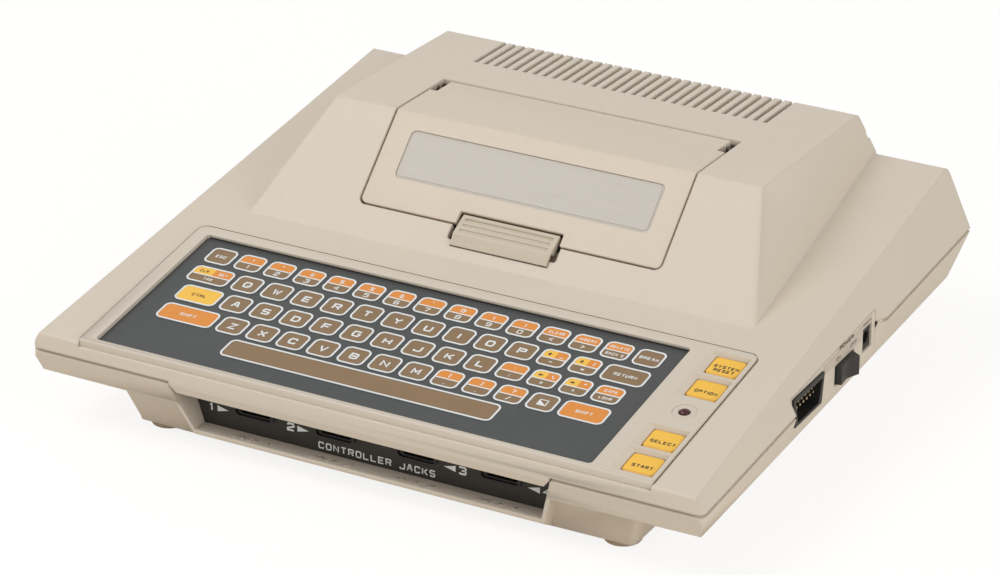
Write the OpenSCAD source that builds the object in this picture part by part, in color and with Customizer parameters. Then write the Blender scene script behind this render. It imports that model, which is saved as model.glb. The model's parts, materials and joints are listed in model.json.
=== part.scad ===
// Home computer of the late nineteen-seventies: a drafted two-part case with a flat membrane
// keyboard, four console keys, a hinged cartridge door with a pull latch, four controller
// sockets in front and a port, a power switch and a power socket on the right side.
// X runs to the right, Y from the front to the rear, Z up. The feet stand on Z = 0.

/* [Case] */
// Width of the case at the parting line
case_w = 343; // [333:1:353]
// Depth of the case at the parting line
case_d = 292; // [288:1:300]
// Thickness of the moulded walls
wall = 3; // [2.4:0.1:3.2]
// Height of the lower half's rim at the front
seam_front_z = 38.3; // [37.5:0.1:39]
// Rise of the parting line from front to rear
seam_rise = 18; // [17:0.5:19.5]
// Open gap between the two halves
seam_gap = 1.5; // [1:0.1:1.8]
// Inward lean of the upper half's side walls, in degrees
side_draft = 27.5; // [25:0.5:29]
// Inward lean of the lower half's side walls, in degrees
skirt_draft = 14.5; // [12:0.5:17]
// Height of the upper half's front face
fascia_h = 7.9; // [7:0.1:8.5]
// Slope of the deck, in degrees
deck_a = 7.45; // [7.2:0.05:7.7]

/* [Hump] */
// Height of the hump's crest above the table
crest_z = 110.5; // [109:0.5:113]
// Distance of the crest behind the middle of the case
crest_y = 33.9; // [32:0.5:36]
// Slope of the hump's front face, in degrees
slope_a = 42.4; // [41.5:0.1:43]
// Fall of the hump's top towards the rear, in degrees
top_fall = 2.6; // [2:0.1:3]
// Half width of the hump at its crest
crest_half_w = 113; // [110:0.5:118]
// Inward lean of the hump's side faces, in degrees
hump_draft = 22.5; // [21:0.5:24]
// Narrowing of the hump towards the rear on each side, in degrees
hump_taper = 1.7; // [1:0.1:2]

/* [Vents] */
// Number of slots through the hump's rear edge
vent_count = 30; // [24:1:32]
// Distance from slot to slot
vent_pitch = 5.4; // [5:0.1:5.6]
// Width of one slot
vent_w = 2.3; // [2:0.1:2.6]
// Length of a slot on top of the hump
vent_len = 34; // [28:1:36]
// Height of a slot on the rear wall
vent_drop = 18; // [12:1:20]
// Depth of the grooves in the rear wall
groove_depth = 1.2; // [0.8:0.1:1.4]

/* [Keyboard] */
// Half width of the bezel
bezel_half_w = 146; // [145:0.5:147]
// Length of the bezel along the deck
bezel_len = 109; // [108.5:0.5:111]
// How far the bezel stands proud of the deck
bezel_proud = 1.2; // [0.8:0.1:1.6]
// Width of the bezel's rim to the left of the keyboard window
bezel_rim = 6.8; // [6.2:0.1:9]
// Width of the bezel's strip to the right of the window, which holds the console keys
console_strip = 30.7; // [29.5:0.1:31.5]
// Front edge of the window, from the deck's front edge
window_front = 4; // [3.8:0.1:4.6]
// Rear edge of the window, from the deck's front edge
window_rear = 103.2; // [102.5:0.1:104]
// Depth of the membrane below the bezel's face
membrane_drop = 2; // [1.6:0.1:2.3]
// Distance from the outermost keys to the window's sides
key_margin = 8.1; // [6:0.1:10]
// Distance from row to row
row_pitch = 16.7; // [16:0.1:16.9]
// Width of an ordinary key
key_w = 13.6; // [12:0.2:14]
// Length of a key along the deck
key_len = 13.2; // [11:0.2:13.6]

/* [Console keys] */
// Width of a console key
console_w = 15.6; // [14.6:0.1:16]
// Length of a console key along the deck
console_len = 13.4; // [12.6:0.1:13.8]
// Distance of the console keys' middle from the bezel's right edge
console_inset = 10.7; // [10.4:0.1:11.2]
// Travel of a console key
console_travel = 2; // [1.2:0.1:2.2]
// Radius of the power lamp
led_r = 2.5; // [1.5:0.1:3]

/* [Cartridge door] */
// Half width of the door
door_half_w = 79; // [76:0.5:80]
// Thickness of the door
door_t = 3; // [2.6:0.1:3.4]
// Length of the door down the front slope
door_front_len = 50.2; // [49:0.1:51]
// Length of the door along the hump's top
door_top_len = 46; // [44:0.5:48]
// Open gap round the door
door_gap = 1; // [0.7:0.1:1.3]
// Radius of the hinge rod
rod_r = 1.2; // [1:0.05:1.4]
// Running clearance of the hinge rod
rod_play = 0.05; // [0.03:0.01:0.08]
// Half width of the badge plate
badge_half_w = 67; // [60:0.5:70]
// Length of the badge plate along the slope
badge_len = 25; // [20:0.5:26]
// Half width of the latch
latch_half_w = 25.6; // [22:0.2:26]
// Travel of the latch
latch_travel = 3; // [2:0.1:3.4]

/* [Controller sockets] */
// Half width of the front recess at its floor
recess_half_w = 89.3; // [88.5:0.1:90]
// Height of the recess floor above the table
recess_z = 13.5; // [13:0.1:14.5]
// Distance from socket to socket
jack_pitch = 42.3; // [41.5:0.1:42.6]
// Width of a socket's shell at its wide side
jack_w = 24; // [22:0.5:25]

/* [Right side] */
// Depth of the side recess below the rim
side_recess = 3.5; // [3:0.1:4]
// Front end of the side recess
side_front = -51.5; // [-53:0.5:-51]
// Rear end of the side recess
side_rear = 42; // [41.5:0.5:44]
// Length of the rocker switch
rocker_len = 19; // [17:0.5:19.5]
// Height of the rocker switch
rocker_h = 9.6; // [8.5:0.1:10.5]
// Turn of the rocker between its two positions, in degrees
rocker_turn = 20; // [14:1:22]

/* [Inside] */
// Height of the rubber feet
foot_h = 3.2; // [2.5:0.1:4]
// Radius of the rubber feet
foot_r = 9; // [6:0.5:10]
// Distance of the cast shield from the edges of the case's floor
shield_inset = 30.3; // [29:0.1:34]
// Width of a cartridge
cartridge_w = 70; // [66:1:74]
// Thickness of a cartridge
cartridge_t = 22; // [20:0.5:23]
// Height of the shield's top above the table
shield_top = 69; // [66:0.5:70]
// Thickness of the circuit boards
board_t = 1.6; // [1.2:0.1:2]

/* [Hidden] */

$fn = 32;
BIG = 800;                                  // Larger than anything in the model
CUT = 1;                                    // Overrun of a cutting body
FIT = 0.2;                                  // Gap between pieces that are laid into each other

// Colours
BEIGE = [0.83, 0.79, 0.72];
DOOR_BEIGE = [0.85, 0.79, 0.71];
LATCH_GREY = [0.80, 0.76, 0.70];
MEMBRANE_GREY = [0.34, 0.35, 0.34];
AMBER = [1.0, 0.76, 0.32];
BLACK = [0.12, 0.12, 0.12];
STEEL = [0.72, 0.73, 0.75];
CAST = [0.62, 0.63, 0.64];
BOARD_GREEN = [0.16, 0.36, 0.22];
GOLD = [0.85, 0.68, 0.32];

// Places on the case
front_y = -case_d / 2;
rear_y = case_d / 2;
seam_a = atan(seam_rise / case_d);
rear_bulge = 3;                             // How far the rear wall leans out up to the deck
hump_rear_lean = 15;                        // Lean of the hump's rear face, in degrees
fascia_in = 0.8;                            // Lean of the front face, as a setback of its top
skirt_lean = 19;                            // Lean of the lower half's front face, in degrees
skirt_h = 11.4;                             // Height of the lower half's front face
rim_bevel = [1.2, 0.8];                     // Depth and height of the bevel on its front rim
skirt_rear_h = 19.6;                        // Height of the lower half's rear face
skirt_rear_in = 14.2;                       // Setback of the rear face's lower edge
deck_front_y = front_y + fascia_in;
deck_front_z = seam_front_z + seam_gap + fascia_h;

function seam_z(y) = seam_front_z + (y - front_y) * tan(seam_a);
function deck_z(y) = deck_front_z + (y - deck_front_y) * tan(deck_a);
function skirt_y(z) = front_y + (seam_front_z - z) * tan(skirt_lean);

// Points on the hump's two faces: s along the face from the crest, n along its outward normal
crest = [crest_y, crest_z];
slope_dir = [cos(slope_a), sin(slope_a)];
slope_out = [-sin(slope_a), cos(slope_a)];
top_dir = [cos(top_fall), -sin(top_fall)];
top_out = [sin(top_fall), cos(top_fall)];
function slope_at(s, n = 0) = crest + s * slope_dir + n * slope_out;
function top_at(s, n = 0) = crest + s * top_dir + n * top_out;
function crest_at(n) = crest + n * (slope_out + top_out) / (1 + slope_out * top_out);

// An outline with every edge moved inwards by d; the outline runs anticlockwise
function left_normal(a, b) = let (v = b - a) [-v[1], v[0]] / norm(v);
function inset_corner(a, b, c, d) =
    let (m = left_normal(a, b), n = left_normal(b, c)) b + d * (m + n) / (1 + m * n);
function inset(pts, d) = let (n = len(pts))
    [for (i = [0 : n - 1]) inset_corner(pts[(i + n - 1) % n], pts[i], pts[(i + 1) % n], d)];

// The points of an arc that rounds corner b between a and c with radius r
ARC_STEPS = 6;
function arc_corner(a, b, c, r) =
    let (u = (a - b) / norm(a - b), v = (c - b) / norm(c - b),
         half = acos(max(-1, min(1, u * v))) / 2,
         centre = b + (u + v) / norm(u + v) * r / sin(half),
         from = b + u * r / tan(half) - centre,
         to = b + v * r / tan(half) - centre,
         a0 = atan2(from[1], from[0]),
         turn = (atan2(to[1], to[0]) - a0 + 540) % 360 - 180)
    [for (k = [0 : ARC_STEPS])
        centre + r * [cos(a0 + turn * k / ARC_STEPS), sin(a0 + turn * k / ARC_STEPS)]];
// An outline given as [point, radius] pairs
function rounded(corners) = let (n = len(corners))
    [for (i = [0 : n - 1])
        let (a = corners[(i + n - 1) % n][0], b = corners[i][0], c = corners[(i + 1) % n][0])
        each (corners[i][1] > 0 ? arc_corner(a, b, c, corners[i][1]) : [b])];

// A body with an outline in the Y-Z plane, from x0 to x1
module along_x(pts, x0, x1) {
    translate([x0, 0, 0]) rotate([90, 0, 90]) linear_extrude(x1 - x0) polygon(pts);
}
// A body with an outline in the X-Z plane, from y0 to y1
module along_y(pts, y0, y1) {
    translate([0, y1, 0]) rotate([90, 0, 0]) linear_extrude(y1 - y0) polygon(pts);
}
// Everything on the inner side of a leaning plane through a point; inset moves it inwards
module inside_of(x, draft, yaw = 0, inset = 0) {
    translate([x, 0, 0]) rotate([0, -draft, yaw])
        translate([-BIG - inset, -BIG / 2, -BIG / 2]) cube(BIG);
}
// The same on both sides of the middle plane
module between_sides(x, draft, yaw = 0, inset = 0) {
    intersection() {
        inside_of(x, draft, yaw, inset);
        mirror([1, 0, 0]) inside_of(x, draft, yaw, inset);
    }
}
module box(x, y, z) {
    translate([x[0], y[0], z[0]]) cube([x[1] - x[0], y[1] - y[0], z[1] - z[0]]);
}
module rounded_box(x, y, z, r) {
    pts = rounded([[[x[0], y[0]], r], [[x[1], y[0]], r], [[x[1], y[1]], r], [[x[0], y[1]], r]]);
    translate([0, 0, z[0]]) linear_extrude(z[1] - z[0]) polygon(pts);
}
module mirrored_x() {
    children();
    mirror([1, 0, 0]) children();
}

// Frames: each module places its children on a face of the case
module on_seam(y = front_y) {
    translate([0, y, seam_z(y)]) rotate([seam_a, 0, 0]) children();
}
module on_deck() {
    translate([0, deck_front_y, deck_front_z]) rotate([deck_a, 0, 0]) children();
}
module on_slope() {
    translate([0, crest_y, crest_z]) rotate([slope_a, 0, 0]) children();
}
module on_top() {
    translate([0, crest_y, crest_z]) rotate([-top_fall, 0, 0]) children();
}

// ---------------------------------------------------------------- upper half of the case
rear_seam_z = seam_z(rear_y);
wing_y = rear_y + rear_bulge;               // Rear edge of the deck
wing_z = deck_z(wing_y);
wing_half_w = case_w / 2 - (wing_z - rear_seam_z - seam_gap) * tan(side_draft);
rear_lean = atan(rear_bulge / (wing_z - rear_seam_z - seam_gap));
function rear_wall_y(z) = rear_y + (z - rear_seam_z - seam_gap) * tan(rear_lean);
tail_y = (wing_y - (crest_z + crest_y * tan(top_fall) - wing_z) * tan(hump_rear_lean))
    / (1 - tan(top_fall) * tan(hump_rear_lean));
tail_s = (tail_y - crest_y) / cos(top_fall);
plan_r = 4;                                 // Radius of the case's upright corners
front_r = 1.2;                              // Rounding of the deck's front edge
rear_r = 3;                                 // Rounding of the rear top edges
crest_r = 2;                                // Rounding of the crest

function fascia_y(z) = front_y + (z - seam_front_z - seam_gap) * fascia_in / fascia_h;
function deck_outline(drop, r_front, r_rear) =
    let (zf = seam_front_z + seam_gap - drop, zr = rear_seam_z + seam_gap - drop)
    [[[fascia_y(zf), zf], 0], [[rear_wall_y(zr), zr], 0],
     [[wing_y, wing_z], r_rear], [[deck_front_y, deck_front_z], r_front]];

// The foot of the hump's slope, at a depth below the deck
function hump_foot_y(depth) =
    (deck_front_z - deck_front_y * tan(deck_a) - depth - crest_z + crest_y * tan(slope_a))
    / (tan(slope_a) - tan(deck_a));
hump_root = 3 * wall;
function hump_outline(r_crest, r_rear) =
    let (yf = hump_foot_y(hump_root), zr = wing_z - hump_root)
    [[[yf, deck_z(yf) - hump_root], 0], [[rear_wall_y(zr), zr], 0], [[wing_y, wing_z], 0],
     [top_at(tail_s), r_rear], [crest, r_crest]];

module plan_prism() {
    half = case_w / 2;
    rounded_box([-half, half], [front_y, rear_y + 2 * rear_bulge], [0, BIG], plan_r);
}
module deck_body() {
    intersection() {
        along_x(rounded(deck_outline(0, front_r, rear_r)), -case_w, case_w);
        on_seam() translate([0, 0, seam_gap]) between_sides(case_w / 2, side_draft);
        plan_prism();
    }
}
module deck_cavity() {
    pts = [for (c = deck_outline(wall + CUT, 0, 0)) c[0]];
    intersection() {
        along_x(inset(pts, wall), -case_w, case_w);
        on_seam() translate([0, 0, seam_gap]) between_sides(case_w / 2, side_draft, 0, wall);
    }
}
module hump_body() {
    intersection() {
        along_x(rounded(hump_outline(crest_r, rear_r)), -case_w, case_w);
        translate([0, crest_y, crest_z]) between_sides(crest_half_w, hump_draft, hump_taper);
    }
}
module hump_cavity() {
    pts = [for (c = hump_outline(0, 0)) c[0]];
    intersection() {
        along_x(inset(pts, wall), -case_w, case_w);
        translate([0, crest_y, crest_z])
            between_sides(crest_half_w, hump_draft, hump_taper, wall);
    }
}
module upper_outside() {
    deck_body();
    hump_body();
}

// Bezel seat: a flange under the deck that carries the bezel and the keyboard
bezel_front = 0.7;                          // Bezel's front edge behind the deck's front edge
bezel_rear = bezel_front + bezel_len;
bezel_seat = 2.5;                           // Depth of the seat below the deck
seat_t = 2.2;                               // Thickness of the seat
seat_lip = 1.5;                             // Width by which the seat and the bezel lap the plates
bezel_corner_r = 4;
window_left = bezel_rim - bezel_half_w;
window_right = bezel_half_w - console_strip;
console_x = bezel_half_w - console_inset;
console_gap = 3;                            // Web between the two openings of the seat
console_left = window_right + seat_lip + console_gap;
console_right = bezel_half_w - 1;
console_front = bezel_front + 3.2;
console_rear = bezel_rear - 4;
console_drop = 10.6;                        // Depth of the console board below the deck
post_w = 4;
post_left_x = console_left - post_w / 2 - 0.6;
post_right_x = console_right + post_w / 2;
post_ys = [console_front + 6, (console_front + console_rear) / 2, console_rear - 4];

module bezel_seat_flange() {
    edge = bezel_half_w + wall;
    on_deck() box([-edge, edge], [fascia_in, bezel_rear + wall],
        [-bezel_seat - seat_t, -bezel_seat + CUT]);
}
module bezel_seat_cut() {
    edge = bezel_half_w + FIT;
    on_deck() {
        rounded_box([-edge, edge], [-10, bezel_rear + FIT], [-bezel_seat, 10],
            bezel_corner_r + FIT);
        box([window_left + seat_lip, window_right - seat_lip],
            [window_front + seat_lip, window_rear - seat_lip], [-20, 10]);
        box([console_left, console_right], [console_front, console_rear], [-20, 10]);
    }
}
module console_posts() {
    on_deck() for (x = [post_left_x, post_right_x], y = post_ys)
        box([x - post_w / 2, x + post_w / 2], [y - post_w / 2, y + post_w / 2],
            [-console_drop, -bezel_seat - 0.5]);
}

// Screw bosses that join the two halves
boss_x = case_w / 2 - 13.5;
boss_ys = [front_y + 26, rear_y - 34];
boss_r = 4.5;
screw_r = 1.5;                              // Radius of the screw's shank
screw_play = 0.3;
head_r = 3;
head_h = 2.2;
counterbore = 4;                            // Depth of the screw head's hole
screw_grip = 7;                             // Length of the screw in the upper boss
function boss_z(y) = seam_z(y) + seam_gap;
module at_bosses() {
    for (x = [-boss_x, boss_x], y = boss_ys) translate([x, y, 0]) children();
}

// Door opening and what carries the door
rear_gap = 1.6;                             // Gap behind the door, where its edge swings
hinge_s = door_top_len - 4.4;               // Hinge axis behind the crest
hinge_n = -door_t - 0.2;                    // Hinge axis below the hump's top
knuckle_r = 3.1;
rod_half_l = door_half_w + door_gap + 6;
ear_t = 8;
door_corner_r = 3;
hinge_notch_w = 3.9;                        // Notch in the door's rear corners
hinge_notch_len = 15;
latch_side_gap = 3;                         // Gap beside the latch in its pocket
latch_cut_len = 6.4;                        // Notch in the door's front edge over the latch
latch_cut_half_w = latch_half_w + 1.7;
latch_front_s = -door_front_len - 11.85;
latch_neck_s = latch_front_s + 7.05;
latch_rear_s = -door_front_len + latch_cut_len - 0.8;
pocket_front_s = latch_neck_s - latch_travel - 0.7;
rim_t = 2;
rim_lap = 3.5;                              // How far the rim reaches under the door
rim_n = -max(wall, door_t + 0.3);           // Depth at which the door rests on the rim

// The strip between two depths under the hump's faces, from s0 down the slope to s1 on top
function bent_strip(s0, s1, n_out, n_in) =
    [slope_at(-s0, n_out), slope_at(-s0, n_in), crest_at(n_in), top_at(s1, n_in),
     top_at(s1, n_out), crest_at(n_out)];
module slope_plan(half_w, len, r) {
    pts = rounded([[[-half_w, -len], r], [[half_w, -len], r], [[half_w, 90], 0],
        [[-half_w, 90], 0]]);
    on_slope() translate([0, 0, -90]) linear_extrude(120) polygon(pts);
}
module door_opening() {
    half = door_half_w + door_gap;
    len = door_front_len + door_gap;
    intersection() {
        along_x(bent_strip(len, door_top_len + rear_gap, 8, rim_n), -half, half);
        slope_plan(half, len, door_corner_r + door_gap);
    }
    pocket = latch_half_w + latch_side_gap;
    on_slope() rounded_box([-pocket, pocket], [pocket_front_s, -door_front_len + CUT],
        [-wall - 1, 8], 1.5);
}
module door_rim() {
    outer = door_half_w + door_gap;
    mirrored_x() {
        along_x(bent_strip(door_front_len - 3, hinge_s - knuckle_r - 11, rim_n,
            rim_n - rim_t), outer - rim_lap, outer + 1);
        along_x(bent_strip(door_front_len - 3, hinge_s - knuckle_r - 11, -wall + 0.5,
            rim_n - rim_t), outer + 0.5, outer + rim_lap);
    }
}
module hinge_ears() {
    inner = door_half_w + door_gap;
    mirrored_x() on_top()
        box([inner, inner + ear_t], [hinge_s - 4, hinge_s + 4], [hinge_n - 3.5, -wall + 0.5]);
}
module on_hinge_axis() {
    on_top() translate([0, hinge_s, hinge_n]) rotate([0, 90, 0]) children();
}

module vents() {
    on_top() for (i = [0 : vent_count - 1]) {
        x = (i - (vent_count - 1) / 2) * vent_pitch;
        box([x - vent_w / 2, x + vent_w / 2], [tail_s - vent_len, tail_s + CUT],
            [-wall - CUT, CUT]);
        box([x - vent_w / 2, x + vent_w / 2], [tail_s - wall - 2, tail_s + 5],
            [-vent_drop, CUT]);
    }
}
groove_w = 1.7;
module rear_grooves() {
    count = 2 * floor(wing_half_w / vent_pitch);
    for (i = [0 : count - 1]) {
        x = (i - (count - 1) / 2) * vent_pitch;
        translate([x - groove_w / 2, rear_y, rear_seam_z + seam_gap]) rotate([-rear_lean, 0, 0])
            box([0, groove_w], [-groove_depth, 8], [4, wing_z]);
        translate([x - groove_w / 2, wing_y, wing_z]) rotate([hump_rear_lean, 0, 0])
            box([0, groove_w], [-groove_depth, 8], [-CUT, crest_z]);
    }
}

// The lip of the upper half that hangs over the controller sockets
recess_flare = 18.8;                        // Lean of the recess's sides, in degrees
lip_h = 4.5;                                // Height of the lip below the rim
lip_gap = 0.5;
function recess_half(z) = recess_half_w + (z - recess_z) * tan(recess_flare);
module jack_lip() {
    top = seam_front_z + seam_gap + CUT;
    low = seam_front_z - lip_h;
    low_half = recess_half(low) - 2.5;
    top_half = recess_half(seam_front_z) - lip_gap;
    intersection() {
        along_y([[-low_half, low], [low_half, low], [top_half, seam_front_z],
            [top_half, top], [-top_half, top], [-top_half, seam_front_z]],
            front_y - CUT, front_y + 20);
        along_x([[skirt_y(low), low], [skirt_y(low) + wall, low], [front_y + wall + 0.5, top],
            [front_y + (top - seam_front_z - seam_gap) * fascia_in / fascia_h, top],
            [front_y, seam_front_z]], -case_w, case_w);
    }
}

// Side recess: the height at which the leaning wall meets the flat side panel
side_x = case_w / 2 - side_recess;
side_flare = 6;                             // How far its rear end runs out to the rear
panel_t = wall;
side_top = seam_gap + side_recess / tan(side_draft);
function side_outline(low, play) =
    [[side_front + play, low], [side_rear - play, low],
     [side_rear - play, seam_z(side_rear) + side_top - play],
     [side_front + play, seam_z(side_front) + side_top - play]];

// The recess cut down to the depth x, with a rear end that runs out to the case's surface
module side_cut(x) {
    k = 1 + 1 / side_recess;
    along_x(side_outline(0, 0), x, case_w);
    linear_extrude(crest_z) polygon([[side_x, side_rear],
        [side_x + k * side_recess, side_rear - CUT],
        [side_x + k * side_recess, side_rear + k * side_flare]]);
}

module upper_case() {
    color(BEIGE) difference() {
        union() {
            difference() {
                upper_outside();
                deck_cavity();
                hump_cavity();
            }
            intersection() {
                deck_body();
                union() {
                    bezel_seat_flange();
                    at_bosses() translate([0, 0, seam_front_z]) cylinder(r = boss_r, h = 60);
                }
            }
            console_posts();
            jack_lip();
            intersection() {
                hump_body();
                union() {
                    door_rim();
                    hinge_ears();
                }
            }
        }
        for (x = [-boss_x, boss_x], y = boss_ys) translate([x, y, 0]) {
            translate([0, 0, boss_z(y) - 40]) cylinder(r = boss_r + CUT, h = 40);
            cylinder(r = screw_r - 0.05, h = boss_z(y) + screw_grip + 1);
        }
        bezel_seat_cut();
        door_opening();
        on_hinge_axis() cylinder(r = rod_r + rod_play, h = 2 * rod_half_l + 1, center = true);
        vents();
        rear_grooves();
        side_cut(side_x - panel_t - FIT);
    }
}

// ---------------------------------------------------------------- lower half of the case
skirt_front_low = seam_front_z - skirt_h;
skirt_rear_low = rear_seam_z - skirt_rear_h;
pedestal_front = front_y + 21.6;
pedestal_rear = rear_y - 28;
pedestal_half_w = case_w / 2 - 43.2;
pedestal_lean = 18;                         // Lean of the pedestal's four walls, in degrees
floor_z = foot_h + wall;
rim_in = 1.8;                               // Setback of the step that carries the upper half
cheek_t = 2;                                // Thickness of the walls beside the sockets
jack_seat_y = front_y + 19;                 // Plane against which the socket panel rests
jack_wall_t = 3;
jack_panel_t = 2;

function skirt_rear_y(z) = rear_y - (rear_seam_z - z) * skirt_rear_in / skirt_rear_h;
function skirt_low_z(y) = skirt_front_low + (y - skirt_y(skirt_front_low))
    * (skirt_rear_low - skirt_front_low) / (rear_y - skirt_rear_in - skirt_y(skirt_front_low));
function skirt_outline(rise) =
    [[skirt_y(skirt_front_low), skirt_front_low], [rear_y - skirt_rear_in, skirt_rear_low],
     [skirt_rear_y(rear_seam_z + rise), rear_seam_z + rise],
     [skirt_y(seam_front_z + rise), seam_front_z + rise]];

module skirt_body() {
    intersection() {
        along_x(skirt_outline(0), -case_w, case_w);
        on_seam() between_sides(case_w / 2, -skirt_draft);
        plan_prism();
    }
}
module skirt_cavity() {
    intersection() {
        along_x(inset(skirt_outline(wall + CUT), wall), -case_w, case_w);
        on_seam() between_sides(case_w / 2, -skirt_draft, 0, wall);
    }
}
// Everything from the height low up to a rise above the skirt's underside
module below_skirt(low, rise) {
    along_x([[front_y, low], [rear_y, low], [rear_y, skirt_low_z(rear_y) + rise],
        [front_y, skirt_low_z(front_y) + rise]], -case_w, case_w);
}
// A block whose four walls lean outwards, moved inwards by inset
module leaning_block(inset) {
    y0 = pedestal_front + inset / cos(pedestal_lean);
    y1 = pedestal_rear - inset / cos(pedestal_lean);
    run = crest_z * tan(pedestal_lean);
    translate([0, 0, foot_h]) intersection() {
        along_x([[y0, 0], [y1, 0], [y1 + run, crest_z], [y0 - run, crest_z]], -case_w, case_w);
        between_sides(pedestal_half_w, -pedestal_lean, 0, inset);
    }
}
module pedestal_body() {
    intersection() {
        below_skirt(foot_h, 1.5);
        leaning_block(0);
    }
}
module pedestal_cavity() {
    intersection() {
        below_skirt(floor_z, wall + CUT);
        leaning_block(wall);
    }
}
module recess_prism(grow) {
    low = recess_z - 20;
    top = seam_front_z + 20;
    along_y([[-recess_half(low) - grow, low], [recess_half(low) + grow, low],
        [recess_half(top) + grow, top], [-recess_half(top) - grow, top]],
        front_y - 20, pedestal_front + 20);
}
tray_low = recess_z - 2.8;                   // Lower edge of the recess's front lip
module socket_tray() {
    back = jack_seat_y + jack_wall_t;
    intersection() {
        recess_prism(cheek_t / cos(recess_flare));
        along_x([[skirt_y(tray_low), tray_low], [pedestal_front, foot_h],
            [pedestal_front + wall, foot_h], [back, recess_z + 4],
            [back, seam_z(back)], [front_y, seam_front_z]], -case_w, case_w);
    }
}
module socket_recess() {
    intersection() {
        recess_prism(0);
        box([-case_w, case_w], [front_y - 10, jack_seat_y], [recess_z, crest_z]);
    }
}
jack_window_low = recess_z + 6;
jack_window_top = seam_front_z - 1.5;
jack_window_half_w = recess_half_w - 6.5;
module rim_step() {
    half = case_w / 2;
    len = case_d / cos(seam_a);
    on_seam() difference() {
        rounded_box([-half + rim_in, half - rim_in], [rim_in, len - rim_in], [-2, seam_gap],
            plan_r - rim_in);
        box([-half + wall, half - wall], [wall, len - wall], [-2 - CUT, seam_gap + CUT]);
    }
}

module front_rim_bevel() {
    slope = rim_bevel[1] / rim_bevel[0];
    over = rim_bevel[0] / 2;
    along_x([[front_y - over, seam_front_z - rim_bevel[1] - over * slope],
        [front_y + rim_bevel[0] + over, seam_front_z + over * slope],
        [front_y - over, seam_front_z + over * slope]], -case_w, case_w);
}

// Posts on the floor
shield_half_w = pedestal_half_w - shield_inset;
shield_front = -18;
shield_rear = pedestal_rear - 6;
shield_post_in = 10;                        // Distance of the shield's posts from its edges
shield_h = 10;
post_h = 4;
post_r = 4;
shield_z = floor_z + post_h;
power_w = 21;                               // Width of the power board
power_x = [shield_half_w + 5, shield_half_w + 5 + power_w];
power_y = [shield_front + 8, shield_rear - 16];
module floor_posts() {
    for (x = [-1, 1] * (shield_half_w - shield_post_in),
         y = [shield_front + shield_post_in, shield_rear - shield_post_in])
        translate([x, y, floor_z - 1]) cylinder(r = post_r, h = post_h + 1);
    for (x = [power_x[0] + 3, power_x[1] - 3], y = [power_y[0] + 4, power_y[1] - 4])
        translate([x, y, floor_z - 1]) cylinder(r = 2.5, h = post_h + 1);
}

// Right side: the board behind the panel and the places of what it carries
port_board_x = side_x - panel_t - 7.4;      // Outer face of the port board
port_y = side_front + 18.9;
port_z = seam_z(port_y) - 1.2;
port_half_top = 16.6;
port_half_low = 14.2;
port_half_h = 7.3;
rocker_y = port_y + 40.8;
rocker_z = seam_z(rocker_y) - 5;
pivot_x = side_x - 4.5;
dc_y = side_rear - 8.8;
dc_z = seam_z(dc_y) - 2.3;
dc_w = 9.6;
dc_h = 11.6;
rocker_end_play = 1.3;
function port_outline(grow) =
    [[port_y - port_half_low - grow, port_z - port_half_h - grow],
     [port_y + port_half_low + grow, port_z - port_half_h - grow],
     [port_y + port_half_top + grow, port_z + port_half_h + grow],
     [port_y - port_half_top - grow, port_z + port_half_h + grow]];
module side_panel() {
    intersection() {
        along_x(side_outline(floor_z, FIT), side_x - panel_t, side_x);
        union() {
            skirt_body();
            on_seam() translate([-case_w, 0, -1]) cube([2 * case_w, case_d, 40]);
        }
        translate([0, 0, -50]) along_x([for (p = [[front_y, 0], [rear_y, 0], [rear_y, 90],
            [front_y, 90]]) p + [0, 50 + skirt_low_z(p[0]) + 0.5]], 0, case_w);
    }
}
module side_holes() {
    x0 = side_x - panel_t - CUT;
    along_x(port_outline(FIT), x0, case_w);
    along_x([[rocker_y - rocker_len / 2 - rocker_end_play, rocker_z - rocker_h / 2 - FIT],
        [rocker_y + rocker_len / 2 + rocker_end_play, rocker_z - rocker_h / 2 - FIT],
        [rocker_y + rocker_len / 2 + rocker_end_play, rocker_z + rocker_h / 2 + FIT],
        [rocker_y - rocker_len / 2 - rocker_end_play, rocker_z + rocker_h / 2 + FIT]],
        x0, case_w);
    box([x0, case_w], [dc_y - dc_w / 2 - FIT, dc_y + dc_w / 2 + FIT],
        [dc_z - dc_h / 2 - FIT, dc_z + dc_h / 2 + FIT]);
}
// Upright ribs that hold the port board
rib_ys = [side_front + 3, side_rear - 5];
module board_ribs() {
    for (y = rib_ys, x = [port_board_x - board_t - FIT - 2.5, port_board_x + FIT])
        box([x, x + 2.5], [y - 1.5, y + 1.5],
            [skirt_low_z(y) + 1, skirt_low_z(y) + wall + 3]);
}

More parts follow.
